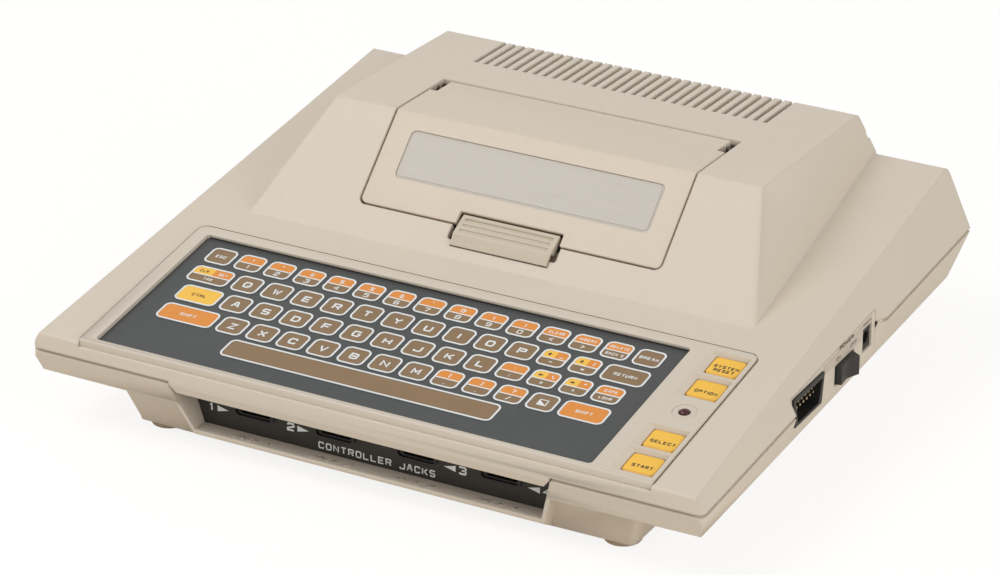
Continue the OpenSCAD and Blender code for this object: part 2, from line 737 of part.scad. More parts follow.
cable_hole_r = 4;
cable_x = -108;
module lower_case() {
    color(BEIGE) difference() {
        union() {
            difference() {
                union() {
                    skirt_body();
                    pedestal_body();
                    rim_step();
                }
                skirt_cavity();
                pedestal_cavity();
                side_cut(side_x);
                along_x(side_outline(seam_front_z, 0), side_x - panel_t - FIT, case_w);
            }
            socket_tray();
            intersection() {
                union() {
                    skirt_body();
                    on_seam() translate([-case_w, 0, -1]) cube([2 * case_w, case_d, 40]);
                }
                for (x = [-boss_x, boss_x], y = boss_ys)
                    translate([x, y, skirt_front_low]) cylinder(r = boss_r,
                        h = boss_z(y) - skirt_front_low);
            }
            floor_posts();
            side_panel();
            board_ribs();
        }
        front_rim_bevel();
        socket_recess();
        box([-jack_window_half_w, jack_window_half_w],
            [jack_seat_y - CUT, jack_seat_y + jack_wall_t + CUT],
            [jack_window_low, jack_window_top]);
        side_holes();
        for (x = [-boss_x, boss_x], y = boss_ys) translate([x, y, 0]) {
            cylinder(r = screw_r + screw_play, h = crest_z);
            cylinder(r = head_r + 0.4, h = skirt_low_z(y) + counterbore);
        }
        translate([cable_x, rear_y - skirt_rear_in, rear_seam_z - skirt_rear_h / 2])
            rotate([90, 0, 0]) cylinder(r = cable_hole_r, h = 40, center = true);
    }
}
foot_in = 10.5;                             // Distance of the feet's middles from the floor's edges
module rubber_feet() {
    pts = [[0, 0], [foot_r - 1.6, 0], [foot_r - 0.5, 0.5], [foot_r, 1.4], [foot_r, foot_h],
        [0, foot_h]];
    color([0.55, 0.50, 0.44])
        for (x = [-1, 1] * (pedestal_half_w - foot_in),
             y = [pedestal_front + foot_in, pedestal_rear - foot_in])
            translate([x, y, 0]) rotate_extrude() polygon(pts);
}
module case_screws() {
    color(STEEL) for (x = [-boss_x, boss_x], y = boss_ys) {
        z = skirt_low_z(y) + counterbore;
        translate([x, y, z - head_h]) difference() {
            union() {
                cylinder(r = head_r, h = head_h);
                cylinder(r = screw_r - 0.1, h = boss_z(y) + screw_grip - z + head_h);
            }
            for (a = [0, 90]) rotate([0, 0, a]) translate([-2, -0.35, -CUT])
                cube([4, 0.7, CUT + 1]);
        }
    }
}

// ---------------------------------------------------------------- keyboard
membrane_n = bezel_proud - membrane_drop;   // Height of the membrane above the deck
overlay_t = 0.4;
circuit_t = 0.3;
key_ring_h = 0.35;                          // Height of the embossed key outlines
key_ring_w = 0.9;
key_corner_r = 3.2;
space_s = 24.2;                             // Middle of the space bar from the deck's edge
home_s = 40.3;                              // Middle of the lowest key row
// Rows from the rear: shift of the first ordinary key to the right, number of ordinary keys,
// and the extra widths of the keys before and after them
ROWS = [[0, 13, 0, 0], [8.4, 12, 8, 8], [12.3, 12, 8, 0], [20.5, 11, 16, 9]];
top_row_keys = ROWS[0][1] + 2;
key_pitch = (window_right - window_left - 2 * key_margin - key_w) / (top_row_keys - 1);
first_key_x = window_left + key_margin + key_w / 2 + key_pitch;
space_x = window_left + 127.2;
space_w = 140;
space_len = 14;
function out_by(a, b, k) = a + (b - a) * k;

// A box on the deck with the window's outline moved out by grow
module window_box(grow, z, r) {
    rounded_box([window_left - grow, window_right + grow],
        [window_front - grow, window_rear + grow], z, r);
}
pocket_floor = -1;                          // Floor of a console key's pocket
console_front_s = [14.9, 34.7, 77.7, 97.5];  // START, SELECT, OPTION, SYSTEM RESET
pocket_top_l = 11.4;                        // Reach of the pocket to the left at the top
pocket_top_r = 8.9;
pocket_hole = 0.4;                          // Gap between a console key and its hole
led_s = 56;
led_ring_r = 5.7;

module console_pocket(s) {
    x0 = console_x - console_w / 2 - pocket_hole;
    x1 = console_x + console_w / 2 + pocket_hole;
    y0 = s - console_len / 2 - pocket_hole;
    y1 = s + console_len / 2 + pocket_hole;
    k = 1.5;
    top = out_by(pocket_floor, bezel_proud, k);
    intersection() {
        along_y([[x0, pocket_floor], [x1, pocket_floor],
            [out_by(x1, console_x + pocket_top_r, k), top],
            [out_by(x0, console_x - pocket_top_l, k), top]], s - 30, s + 30);
        along_x([[y0, pocket_floor], [y1, pocket_floor], [out_by(y1, s + 8.3, k), top],
            [out_by(y0, s - 10.4, k), top]], console_x - 30, console_x + 30);
    }
    box([x0, x1], [y0, y1], [-bezel_seat - CUT, pocket_floor + 0.01]);
}
module keyboard_bezel() {
    edge = bezel_half_w;
    k = (bezel_proud + bezel_seat + 1) / (bezel_proud + bezel_seat);
    color([0.80, 0.75, 0.68]) on_deck() difference() {
        intersection() {
            linear_extrude(20, center = true) polygon(rounded([[[-edge, bezel_front], 0],
                [[edge, bezel_front], 0], [[edge, bezel_rear], bezel_corner_r],
                [[-edge, bezel_rear], bezel_corner_r]]));
            along_x([[bezel_front, -bezel_seat], [bezel_rear + 2, -bezel_seat],
                [bezel_rear + 2, bezel_proud], [bezel_front + 1.1, bezel_proud],
                [bezel_front + 0.5, bezel_proud - 0.5]], -edge - 1, edge + 1);
        }
        window_box(0, [-10, 10], 2);
        window_box(seat_lip + FIT, [-10, membrane_n], 1);
        for (s = console_front_s) console_pocket(s);
        translate([console_x - 0.5, led_s, bezel_proud - 0.35]) cylinder(r = led_ring_r, h = 5);
        translate([console_x - 0.5, led_s, -10]) cylinder(r = led_r + 0.3, h = 20);
    }
}
function row_s(i) = home_s + (3 - i) * row_pitch;
module key_outline(x, s, w, len) {
    difference() {
        rounded_box([x - w / 2, x + w / 2], [s - len / 2, s + len / 2],
            [membrane_n - 0.05, membrane_n + key_ring_h], key_corner_r);
        rounded_box([x - w / 2 + key_ring_w, x + w / 2 - key_ring_w],
            [s - len / 2 + key_ring_w, s + len / 2 - key_ring_w],
            [membrane_n, membrane_n + 2 * key_ring_h], key_corner_r - key_ring_w);
    }
}
module membrane_overlay() {
    color(MEMBRANE_GREY) on_deck() {
        window_box(seat_lip, [membrane_n - overlay_t, membrane_n], 1);
        for (i = [0 : 3]) {
            r = ROWS[i];
            x = first_key_x + r[0];
            for (k = [0 : r[1] - 1]) key_outline(x + k * key_pitch, row_s(i), key_w, key_len);
            key_outline(x - key_pitch - r[2] / 2, row_s(i), key_w + r[2], key_len);
            key_outline(x + r[1] * key_pitch + r[3] / 2, row_s(i), key_w + r[3], key_len);
        }
        key_outline(space_x, space_s, space_w, space_len);
    }
}
module membrane_circuit() {
    top = membrane_n - overlay_t;
    color([0.78, 0.74, 0.55]) on_deck() {
        window_box(seat_lip - 0.3, [top - circuit_t, top], 1);
    }
}
tail_x = 30;                                // Middle of the keyboard's flat cable
tail_half_w = 20;
tail_seat_s = window_rear - 8;
module keyboard_plate() {
    top = membrane_n - overlay_t - circuit_t;
    color(STEEL) on_deck() difference() {
        window_box(seat_lip, [-bezel_seat, top], 1);
        box([tail_x - tail_half_w - 1, tail_x + tail_half_w + 1],
            [tail_seat_s - 1, tail_seat_s + 4], [-10, 10]);
    }
}

console_top = -0.6;                         // Top of a console key above the deck
flange_w = 1;
flange_t = 1.4;
dome_h = console_travel + 1.4;
dome_r = 4.6;
stem_r = 3;
module console_key(s, tint) {
    w = console_w / 2;
    len = console_len / 2;
    foot = -bezel_seat - flange_t;
    color(tint) on_deck() translate([console_x, s, 0]) difference() {
        union() {
            rounded_box([-w, w], [-len, len], [-bezel_seat - 0.1, console_top - 0.5], 2);
            rounded_box([-w + 0.4, w - 0.4], [-len + 0.4, len - 0.4],
                [-bezel_seat, console_top], 1.7);
            rounded_box([-w - flange_w, w + flange_w], [-len - 0.7, len + 0.7],
                [foot, -bezel_seat], 1.5);
            translate([0, 0, -console_drop + dome_h])
                cylinder(r = stem_r, h = console_drop - dome_h - 1.6);
        }
        translate([0, 0, foot - CUT]) difference() {
            rounded_box([-w + 1.2, w - 1.2], [-len + 1.2, len - 1.2], [0, CUT + 1.8], 1);
            cylinder(r = stem_r, h = 10);
        }
    }
}
module key_dome(s) {
    pts = [[0, dome_h - 0.6], [stem_r - 0.6, dome_h - 0.6], [dome_r - 0.9, 0.6],
        [dome_r - 0.9, 0], [dome_r + 1, 0], [dome_r + 1, 0.6], [dome_r, 0.6], [stem_r, dome_h],
        [0, dome_h]];
    color([0.30, 0.30, 0.32]) on_deck() translate([console_x, s, -console_drop])
        rotate_extrude() polygon(pts);
}
module start_key() { console_key(console_front_s[0], AMBER); }
module select_key() { console_key(console_front_s[1], AMBER); }
module option_key() { console_key(console_front_s[2], AMBER); }
module system_reset_key() { console_key(console_front_s[3], AMBER); }
module start_dome() { key_dome(console_front_s[0]); }
module select_dome() { key_dome(console_front_s[1]); }
module option_dome() { key_dome(console_front_s[2]); }
module system_reset_dome() { key_dome(console_front_s[3]); }
module console_board() {
    color(BOARD_GREEN) on_deck()
        box([post_left_x - post_w / 2, post_right_x + post_w / 2],
            [console_front + 0.5, console_rear - 0.5],
            [-console_drop - board_t, -console_drop]);
}
module power_led() {
    top = bezel_proud + 0.9;
    color([0.45, 0.10, 0.08]) on_deck() translate([console_x - 0.5, led_s, 0]) {
        rotate_extrude() polygon(concat([[0, -4], [led_r + 0.5, -4], [led_r + 0.5, -2.9],
            [led_r, -2.9], [led_r, top - led_r * 0.6]],
            [for (a = [20 : 14 : 90]) [led_r * cos(a), top - led_r * 0.6 * (1 - sin(a))]],
            [[0, top]]));
        for (s = [-1.3, 1.3]) translate([0, s, -console_drop])
            cylinder(r = 0.3, h = console_drop - 3.5);
    }
}

// ---------------------------------------------------------------- cartridge door and latch
module door_plan() {
    half = door_half_w;
    cut = latch_cut_half_w;
    front = -door_front_len;
    pts = rounded([[[-half, front], door_corner_r], [[-cut, front], 0.8],
        [[-cut, front + latch_cut_len], 0.8], [[cut, front + latch_cut_len], 0.8],
        [[cut, front], 0.8], [[half, front], door_corner_r], [[half, 90], 0], [[-half, 90], 0]]);
    on_slope() translate([0, 0, -90]) linear_extrude(120) polygon(pts);
}
badge_recess = 0.8;
badge_rear_s = -9.2;
function badge_box(grow) = [[-badge_half_w - grow, badge_half_w + grow],
    [badge_rear_s - badge_len - grow, badge_rear_s + grow]];
module cartridge_door() {
    half = door_half_w;
    strip = rounded([[slope_at(-door_front_len - 5, 0), 0],
        [slope_at(-door_front_len - 5, -door_t), 0], [crest_at(-door_t), 0],
        [top_at(door_top_len, -door_t), 0.6], [top_at(door_top_len), 0.8], [crest, crest_r]]);
    notch = half - hinge_notch_w;
    color(DOOR_BEIGE) difference() {
        union() {
            intersection() {
                along_x(strip, -half, half);
                door_plan();
            }
            on_hinge_axis() cylinder(r = knuckle_r, h = 2 * notch, center = true);
            // Ribs under the plate
            for (x = [-half + 12, -notch / 3, notch / 3, half - 12])
                along_x(bent_strip(door_front_len - 12, door_top_len - 14, -door_t + 0.5,
                    -door_t - 1.5), x - 0.9, x + 0.9);
        }
        on_hinge_axis() cylinder(r = rod_r + rod_play, h = 2 * half, center = true);
        mirrored_x() on_top() box([notch, half + CUT],
            [door_top_len - hinge_notch_len, door_top_len + CUT], [-door_t - 5, CUT]);
        on_slope() rounded_box(badge_box(FIT)[0], badge_box(FIT)[1], [-badge_recess, 5], 3);
    }
}
module badge_plate() {
    b = badge_box(0);
    color([0.76, 0.72, 0.66]) on_slope() {
        rounded_box(b[0], b[1], [-badge_recess, -badge_recess + 0.3], 2.8);
        rounded_box([b[0][0] + 1, b[0][1] - 1], [b[1][0] + 1, b[1][1] - 1],
            [-badge_recess, -badge_recess + 0.5], 1.8);
    }
}
module hinge_rod() {
    color(STEEL) on_hinge_axis() cylinder(r = rod_r, h = 2 * rod_half_l, center = true);
}

// Latch: the block that is pulled, and the tongue plate under the skin
tongue_half_w = latch_half_w - 3.6;
tongue_t = 1.5;
tongue_n = -wall - 0.3;
tongue_front_s = latch_neck_s - 6.5;
module door_latch() {
    color(LATCH_GREY) difference() {
        union() {
            on_slope() along_x([[latch_front_s, 0.35], [latch_neck_s, 0.35],
                [latch_neck_s, tongue_n - 0.1], [latch_rear_s - 0.4, tongue_n - 0.1],
                [latch_rear_s, -0.9], [latch_front_s + 5.9, 2.64], [latch_front_s + 0.5, 0.9]],
                -latch_half_w, latch_half_w);
            on_slope() box([-tongue_half_w, tongue_half_w], [tongue_front_s, latch_rear_s - 0.4],
                [tongue_n - tongue_t, tongue_n]);
        }
        // Grip grooves
        on_slope() for (k = [0 : 2])
            translate([0, latch_front_s + 8.4 + 3.1 * k, 2.2 - 0.93 * k]) rotate([-17, 0, 0])
                box([-latch_half_w + 2.5, latch_half_w - 2.5], [-0.6, 0.6], [-1, 3]);
    }
}
guide_t = 1.6;
guide_rail = 1.6;
guide_front_s = tongue_front_s - 7.5;
guide_rear_s = latch_rear_s - 7;
module latch_guide() {
    low = tongue_n - tongue_t - 0.15;
    half = tongue_half_w + 4;
    color([0.60, 0.57, 0.52]) on_slope() {
        box([-half, half], [guide_front_s, guide_rear_s], [low - guide_t, low]);
        box([-half, half], [guide_front_s, guide_front_s + guide_rail],
            [low - guide_t, -wall]);
        mirrored_x() box([half - 3.5, half], [guide_front_s, latch_neck_s - 4.5],
            [low - guide_t, -wall]);
    }
}
spring_r = 0.85;
spring_wire = 0.2;
spring_coils = 5;
spring_x = 12;                              // Distance of the springs from the middle
module latch_spring() {
    s0 = guide_front_s + guide_rail;
    len = tongue_front_s - s0;
    mid = tongue_n - tongue_t / 2;
    color(STEEL) on_slope() for (x = [-spring_x, spring_x]) translate([x, s0, mid]) rotate([-90, 0, 0])
        linear_extrude(len, twist = 360 * spring_coils, slices = 14 * spring_coils)
            translate([spring_r - spring_wire, 0]) circle(spring_wire, $fn = 6);
}

// ---------------------------------------------------------------- controller sockets
jack_shift = 1.9;                           // Offset of the four sockets from the middle
jack_low_z = recess_z + 8.7;
jack_h = 10.4;
jack_taper = 3.1;                           // Narrowing of a socket's shell on each side
jack_front = 0.4;                           // How far the shell stands proud of the panel
jack_wall = 1.3;
jack_deep = 8.5;
jack_pin_len = 3.5;
jack_body = 10;                             // Length of a socket behind the panel
jack_flange = 1.4;
panel_front_y = jack_seat_y - jack_panel_t;
function jack_x(i) = jack_shift + (i - 2.5) * jack_pitch;
function jack_outline(i, grow) =
    let (x = jack_x(i), top = jack_w / 2 + grow, low = jack_w / 2 - jack_taper + grow)
    rounded([[[x - low, jack_low_z - grow], 1.6], [[x + low, jack_low_z - grow], 1.6],
        [[x + top, jack_low_z + jack_h + grow], 1.6],
        [[x - top, jack_low_z + jack_h + grow], 1.6]]);
module jack_panel() {
    low = recess_z;
    top = seam_front_z + 1.7;
    gap = 0.3;
    color(BLACK) difference() {
        along_y([[gap - recess_half(low), low], [recess_half(low) - gap, low],
            [recess_half(top) - gap, top], [gap - recess_half(top), top]],
            panel_front_y, jack_seat_y);
        for (i = [1 : 4]) along_y(jack_outline(i, 0.15), panel_front_y - CUT, jack_seat_y + CUT);
    }
}
module controller_jack(i) {
    color([0.16, 0.16, 0.17]) difference() {
        union() {
            along_y(jack_outline(i, 0), panel_front_y - jack_front, jack_seat_y + jack_body);
            along_y(jack_outline(i, jack_flange), jack_seat_y, jack_seat_y + 1.5);
        }
        along_y(jack_outline(i, -jack_wall), panel_front_y - CUT, panel_front_y + jack_deep);
    }
}
module controller_jack_1() { controller_jack(1); }
module controller_jack_2() { controller_jack(2); }
module controller_jack_3() { controller_jack(3); }
module controller_jack_4() { controller_jack(4); }
module jack_pins() {
    mid_z = jack_low_z + jack_h / 2;
    color(GOLD) for (i = [1 : 4]) translate([jack_x(i), panel_front_y + jack_deep, mid_z]) {
        for (k = [-2 : 2]) translate([2.77 * k, 0, 1.42]) rotate([90, 0, 0])
            cylinder(r = 0.5, h = jack_pin_len);
        for (k = [-1.5 : 1.5]) translate([2.77 * k, 0, -1.42]) rotate([90, 0, 0])
            cylinder(r = 0.5, h = jack_pin_len);
    }
}
module jack_board() {
    y = jack_seat_y + jack_body;
    color(BOARD_GREEN) box([jack_x(1) - 16, jack_x(4) + 16], [y, y + board_t],
        [jack_low_z - 1.5, jack_low_z + jack_h + 4]);
}

// ---------------------------------------------------------------- right side
port_floor_x = side_x - 6.5;
port_proud = 1;
port_pin_r = 0.65;
port_pin_pitch = 3.6;
module side_port() {
    low = port_z - port_half_h + 1.3;
    top = port_z + port_half_h - 2.2;
    color([0.15, 0.15, 0.15]) difference() {
        union() {
            along_x(port_outline(0), port_board_x, side_x + port_proud);
            along_x(port_outline(1.2), port_board_x, side_x - panel_t - FIT);
        }
        along_x([[port_y - port_half_low + 3, low], [port_y + port_half_low - 3, low],
            [port_y + port_half_top - 2.3, top], [port_y - port_half_top + 2.3, top]],
            port_floor_x, side_x + 5);
    }
}
module side_port_pins() {
    color(GOLD) for (row = [[6, 0.1], [7, 2.8]], k = [0 : row[0] - 1])
        translate([port_floor_x, port_y + (k - (row[0] - 1) / 2) * port_pin_pitch,
            port_z + row[1]]) rotate([0, 90, 0]) cylinder(r = port_pin_r, h = 5.6);
}
rocker_tip = 8.6;                           // Height of the rocker's raised ends over its pivot
rocker_waist = 6.6;
rocker_shoulder = 3;
pivot_r = 1;
switch_wall = 1.5;
// The rocker in its middle position: across from the pivot, along the case
module rocker_form() {
    half = rocker_len / 2;
    h = rocker_h / 2 - 0.15;
    pts = rounded([[[-1.5, -half], 0.5], [[rocker_shoulder, -half], 0.8],
        [[rocker_tip, -half + 2.1], 0.8], [[rocker_waist, 0], 6],
        [[rocker_tip, half - 2.1], 0.8], [[rocker_shoulder, half], 0.8], [[-1.5, half], 0.5]]);
    translate([0, 0, -h]) linear_extrude(2 * h) polygon(pts);
    cylinder(r = pivot_r, h = rocker_h + 2 * switch_wall - 0.6, center = true);
}
module rocker() {
    color([0.26, 0.24, 0.23]) translate([pivot_x, rocker_y, rocker_z])
        rotate([0, 0, -rocker_turn / 2]) rocker_form();
}
module switch_body() {
    half = rocker_len / 2 + rocker_end_play;
    color(BLACK) difference() {
        box([port_board_x, side_x - panel_t - FIT],
            [rocker_y - half - switch_wall, rocker_y + half + switch_wall],
            [rocker_z - rocker_h / 2 - switch_wall, rocker_z + rocker_h / 2 + switch_wall]);
        box([pivot_x - 5, side_x], [rocker_y - half, rocker_y + half],
            [rocker_z - rocker_h / 2, rocker_z + rocker_h / 2]);
        translate([pivot_x, rocker_y, rocker_z]) cylinder(r = pivot_r + 0.05,
            h = 2 * rocker_h, center = true);
    }
}
module power_jack() {
    color(BLACK) {
        difference() {
            box([port_board_x, side_x - 1], [dc_y - dc_w / 2, dc_y + dc_w / 2],
                [dc_z - dc_h / 2, dc_z + dc_h / 2]);
            translate([side_x - 8, dc_y, dc_z]) rotate([0, 90, 0]) cylinder(r = 3.2, h = 20);
        }
        translate([side_x - 8.5, dc_y, dc_z]) rotate([0, 90, 0]) cylinder(r = 1.05, h = 5.5);
    }
}
function skirt_floor_z(y) = skirt_low_z(y) + wall * 1.001;
module port_board() {
    y0 = side_front - 1;
    y1 = side_rear + 1;
    color(BOARD_GREEN) along_x([[y0, skirt_floor_z(y0)], [y1, skirt_floor_z(y1)],
        [y1, seam_z(y1) + 4], [y0, seam_z(y0) + 8]], port_board_x - board_t, port_board_x);
}
label_t = 0.25;
module side_label() {
    low = rocker_z + rocker_h / 2 + 1;
    y0 = port_y + port_half_top + 1;
    y1 = dc_y + dc_w / 2 - 0.5;
    notch_y = dc_y - dc_w / 2 - 1;
    notch_z = dc_z + dc_h / 2 + 0.6;
    color(STEEL) along_x([[y0, low], [notch_y, low], [notch_y, notch_z], [y1, notch_z],
        [y1, seam_z(y1) + side_top - 1.5], [y0, seam_z(y0) + side_top - 1.5]],
        side_x, side_x + label_t);
}

// ---------------------------------------------------------------- inside
shield_wall = 2;
board_z = shield_z + shield_h;
board_top_z = board_z + board_t;
upper_front = 4;
cartridge_y = 50;
guide_wall = 1.6;
guide_play = 1;
guide_rise = 14;                            // Height of the cartridge guide over the shield
slot_w = cartridge_w + 2 * guide_play;
slot_t = cartridge_t + 2 * guide_play;
connector_h = 14;
card_w = 120;
card_h = 34;
card_ys = [shield_rear - 30, shield_rear - 16];
air_slot_pitch = 9;
air_slots = floor((shield_half_w - 14) / air_slot_pitch);   // On each side of the middle one
socket_h = 5;
module lower_shield() {
    color(CAST) difference() {
        rounded_box([-shield_half_w, shield_half_w], [shield_front, shield_rear],
            [shield_z, board_z], 4);
        rounded_box([-shield_half_w + shield_wall, shield_half_w - shield_wall],
            [shield_front + shield_wall, shield_rear - shield_wall],
            [shield_z + shield_wall, board_z + CUT], 3);
    }
}
module main_board() {
    color(BOARD_GREEN) rounded_box([-shield_half_w, shield_half_w], [shield_front, shield_rear],
        [board_z, board_top_z], 4);
}
chip_h = 4;
chip_row_y = 22;
chip_pitch = shield_half_w - 40;            // From chip to chip in the row before the cartridge
chip_side_x = shield_half_w - 22;           // Middle of the chips beside the cartridge
module chip(x, y, w, len) {
    rounded_box([x - w / 2, x + w / 2], [y - len / 2, y + len / 2],
        [board_top_z, board_top_z + chip_h], 0.8);
}
module board_chips() {
    color(BLACK) {
        for (k = [-1 : 1]) chip(k * chip_pitch - 10, chip_row_y, chip_pitch - 8, 14);
        for (y = [62, 76]) chip(-chip_side_x, y, 20, 7);
        chip(chip_side_x, 62, 20, 7);
        chip(chip_side_x, 40, 30, 10);
    }
}
module upper_shield() {
    half = shield_half_w;
    color(CAST) difference() {
        rounded_box([-half, half], [upper_front, shield_rear], [board_top_z, shield_top], 4);
        rounded_box([-half + shield_wall, half - shield_wall],
            [upper_front + shield_wall, shield_rear - shield_wall],
            [board_top_z - CUT, shield_top - shield_wall], 3);
        box([-slot_w / 2 - guide_wall - FIT, slot_w / 2 + guide_wall + FIT],
            [cartridge_y - slot_t / 2 - guide_wall - FIT,
             cartridge_y + slot_t / 2 + guide_wall + FIT], [shield_top - 10, shield_top + CUT]);
        // Air slots over the cards
        for (i = [-air_slots : air_slots]) translate([i * air_slot_pitch, 0, 0])
            box([-1.5, 1.5], [card_ys[0] - 8, card_ys[1] + 6], [shield_top - 10, shield_top + CUT]);
    }
}
module cartridge_guide() {
    low = board_top_z + connector_h;
    module tube(grow, z) {
        box([-slot_w / 2 - grow, slot_w / 2 + grow],
            [cartridge_y - slot_t / 2 - grow, cartridge_y + slot_t / 2 + grow], z);
    }
    color([0.20, 0.20, 0.20]) difference() {
        union() {
            tube(guide_wall, [low, shield_top + guide_rise]);
            tube(guide_wall + 5, [shield_top, shield_top + 1.5]);
        }
        tube(0, [low - CUT, shield_top + guide_rise + CUT]);
    }
}
module cartridge_connector() {
    half = slot_w / 2 + guide_wall;
    color([0.18, 0.18, 0.20]) difference() {
        box([-half, half], [cartridge_y - slot_t / 2 - guide_wall,
            cartridge_y + slot_t / 2 + guide_wall], [board_top_z, board_top_z + connector_h]);
        box([-half + 8, half - 8], [cartridge_y - 1.2, cartridge_y + 1.2],
            [board_top_z + 3, board_top_z + connector_h + CUT]);
    }
}
module card(y) {
    color(BOARD_GREEN) box([-card_w / 2, card_w / 2], [y - board_t / 2, y + board_t / 2],
        [board_top_z + 2, board_top_z + card_h]);
    color(BLACK) {
        difference() {
            box([-card_w / 2 - 4, card_w / 2 + 4], [y - 3, y + 3],
                [board_top_z, board_top_z + socket_h]);
            box([-card_w / 2, card_w / 2], [y - board_t / 2, y + board_t / 2],
                [board_top_z + 2, board_top_z + socket_h + CUT]);
        }
        for (k = [-2 : 2]) box([k * 22 - 8, k * 22 + 8], [y - board_t / 2 - 2, y - board_t / 2],
            [board_top_z + 12, board_top_z + 20]);
    }
}
module cpu_card() { card(card_ys[0]); }
module ram_card() { card(card_ys[1]); }

modulator_w = 20;
modulator_h = 22;
modulator_x = [3 - pedestal_half_w, 3 - pedestal_half_w + modulator_w];
modulator_y = [shield_rear - 60, shield_rear - 16];
module rf_modulator() {
    color(STEEL) {
        rounded_box(modulator_x, modulator_y, [floor_z, floor_z + modulator_h], 1);
        translate([modulator_x[0] + modulator_w / 2, modulator_y[1], floor_z + 12])
            rotate([-90, 0, 0]) cylinder(r = 3.5, h = 8);
    }
}
module power_board() {
    color(BOARD_GREEN) box(power_x, power_y, [shield_z, shield_z + board_t]);
}
power_mid_x = power_x[0] + power_w / 2;
sink_half_w = 9;
sink_h = 20;
sink_fin = 1.6;
sink_pitch = 4;
sink_y = [power_y[1] - 30, power_y[1] - 4];
capacitor_r = 8;
capacitor_h = 25;
capacitor_pitch = (sink_y[0] - power_y[0] - 10) / 3;
module power_capacitors() {
    r = capacitor_r;
    h = capacitor_h;
    pts = [[0, 0], [r - 0.5, 0], [r, 0.6], [r, 2.6], [r - 0.4, 3.2], [r, 3.8], [r, h - 0.6],
        [r - 0.6, h], [0, h]];
    color([0.18, 0.22, 0.35]) for (k = [0 : 2])
        translate([power_mid_x, power_y[0] + 18 + k * capacitor_pitch, shield_z + board_t])
            rotate_extrude() polygon(pts);
}
module heat_sink() {
    z = shield_z + board_t;
    color(CAST) translate([power_mid_x, 0, 0]) {
        box([-sink_half_w, sink_half_w], sink_y, [z, z + 2]);
        for (y = [sink_y[0] : sink_pitch : sink_y[1] - sink_fin])
            box([-sink_half_w, sink_half_w], [y, y + sink_fin], [z, z + sink_h]);
    }
}
speaker_x = -60;
speaker_y = pedestal_front + 45;
speaker_r = 28;
module speaker() {
    pts = [[0, 0], [15, 0], [15, 8], [speaker_r - 4, 14], [speaker_r, 14], [speaker_r, 16],
        [speaker_r - 2.5, 16], [9, 10.5], [6, 12.5], [0, 13.5]];
    color([0.16, 0.16, 0.17]) translate([speaker_x, speaker_y, floor_z])
        rotate_extrude($fn = 48) polygon(pts);
}
function deck_at(s, n) = [deck_front_y + s * cos(deck_a) - n * sin(deck_a),
    deck_front_z + s * sin(deck_a) + n * cos(deck_a)];
ribbon_t = 0.4;
module keyboard_ribbon() {
    top = membrane_n - overlay_t - circuit_t;
    a = deck_at(tail_seat_s, top);
    b = deck_at(tail_seat_s + 2.5, top);
    end = [shield_front + 7, board_top_z + 5];
    path = [a, b, b + [1, -14], end + [-2, 12], end];
    last = len(path) - 1;
    under = [for (i = [0 : last]) path[i] - [ribbon_t, i < 2 ? ribbon_t : 0]];
    color([0.85, 0.80, 0.62]) along_x(concat(under, [for (i = [0 : last]) path[last - i]]),
        tail_x - tail_half_w, tail_x + tail_half_w);
    color(BLACK) box([tail_x - tail_half_w - 3, tail_x + tail_half_w + 3],
        [end[0] - 3, end[0] + 3], [board_top_z, board_top_z + 5]);
}

lower_case();
upper_case();
keyboard_bezel();
membrane_overlay();
membrane_circuit();
keyboard_plate();
keyboard_ribbon();
system_reset_key();
option_key();
select_key();
start_key();
system_reset_dome();
option_dome();
select_dome();
start_dome();
console_board();
power_led();
cartridge_door();
badge_plate();
hinge_rod();
door_latch();
latch_guide();
latch_spring();
jack_panel();
controller_jack_1();
controller_jack_2();
controller_jack_3();
controller_jack_4();
jack_pins();
jack_board();
side_port();
side_port_pins();
rocker();
switch_body();
power_jack();
port_board();
side_label();
lower_shield();
main_board();
board_chips();
upper_shield();
cartridge_guide();
cartridge_connector();
cpu_card();
ram_card();
rf_modulator();
power_board();
power_capacitors();
heat_sink();
speaker();
rubber_feet();
case_screws();
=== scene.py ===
"""A flat-keyboard home computer of the late nineteen-seventies, dressed over its CAD frame.

The frame brings every moulding, board and fastener in its place. This script gives each of them
its finish, prints the keyboard and the panels, rounds the edges of the mouldings, and sets up a
pale studio. Lengths in the classes are millimetres; everything is handed to Blender in metres.
"""

from __future__ import annotations

import json
import logging
import math
from dataclasses import dataclass, field, replace
from enum import Enum
from typing import Sequence

import bmesh
import bpy
from mathutils import Matrix, Vector
from mathutils.bvhtree import BVHTree


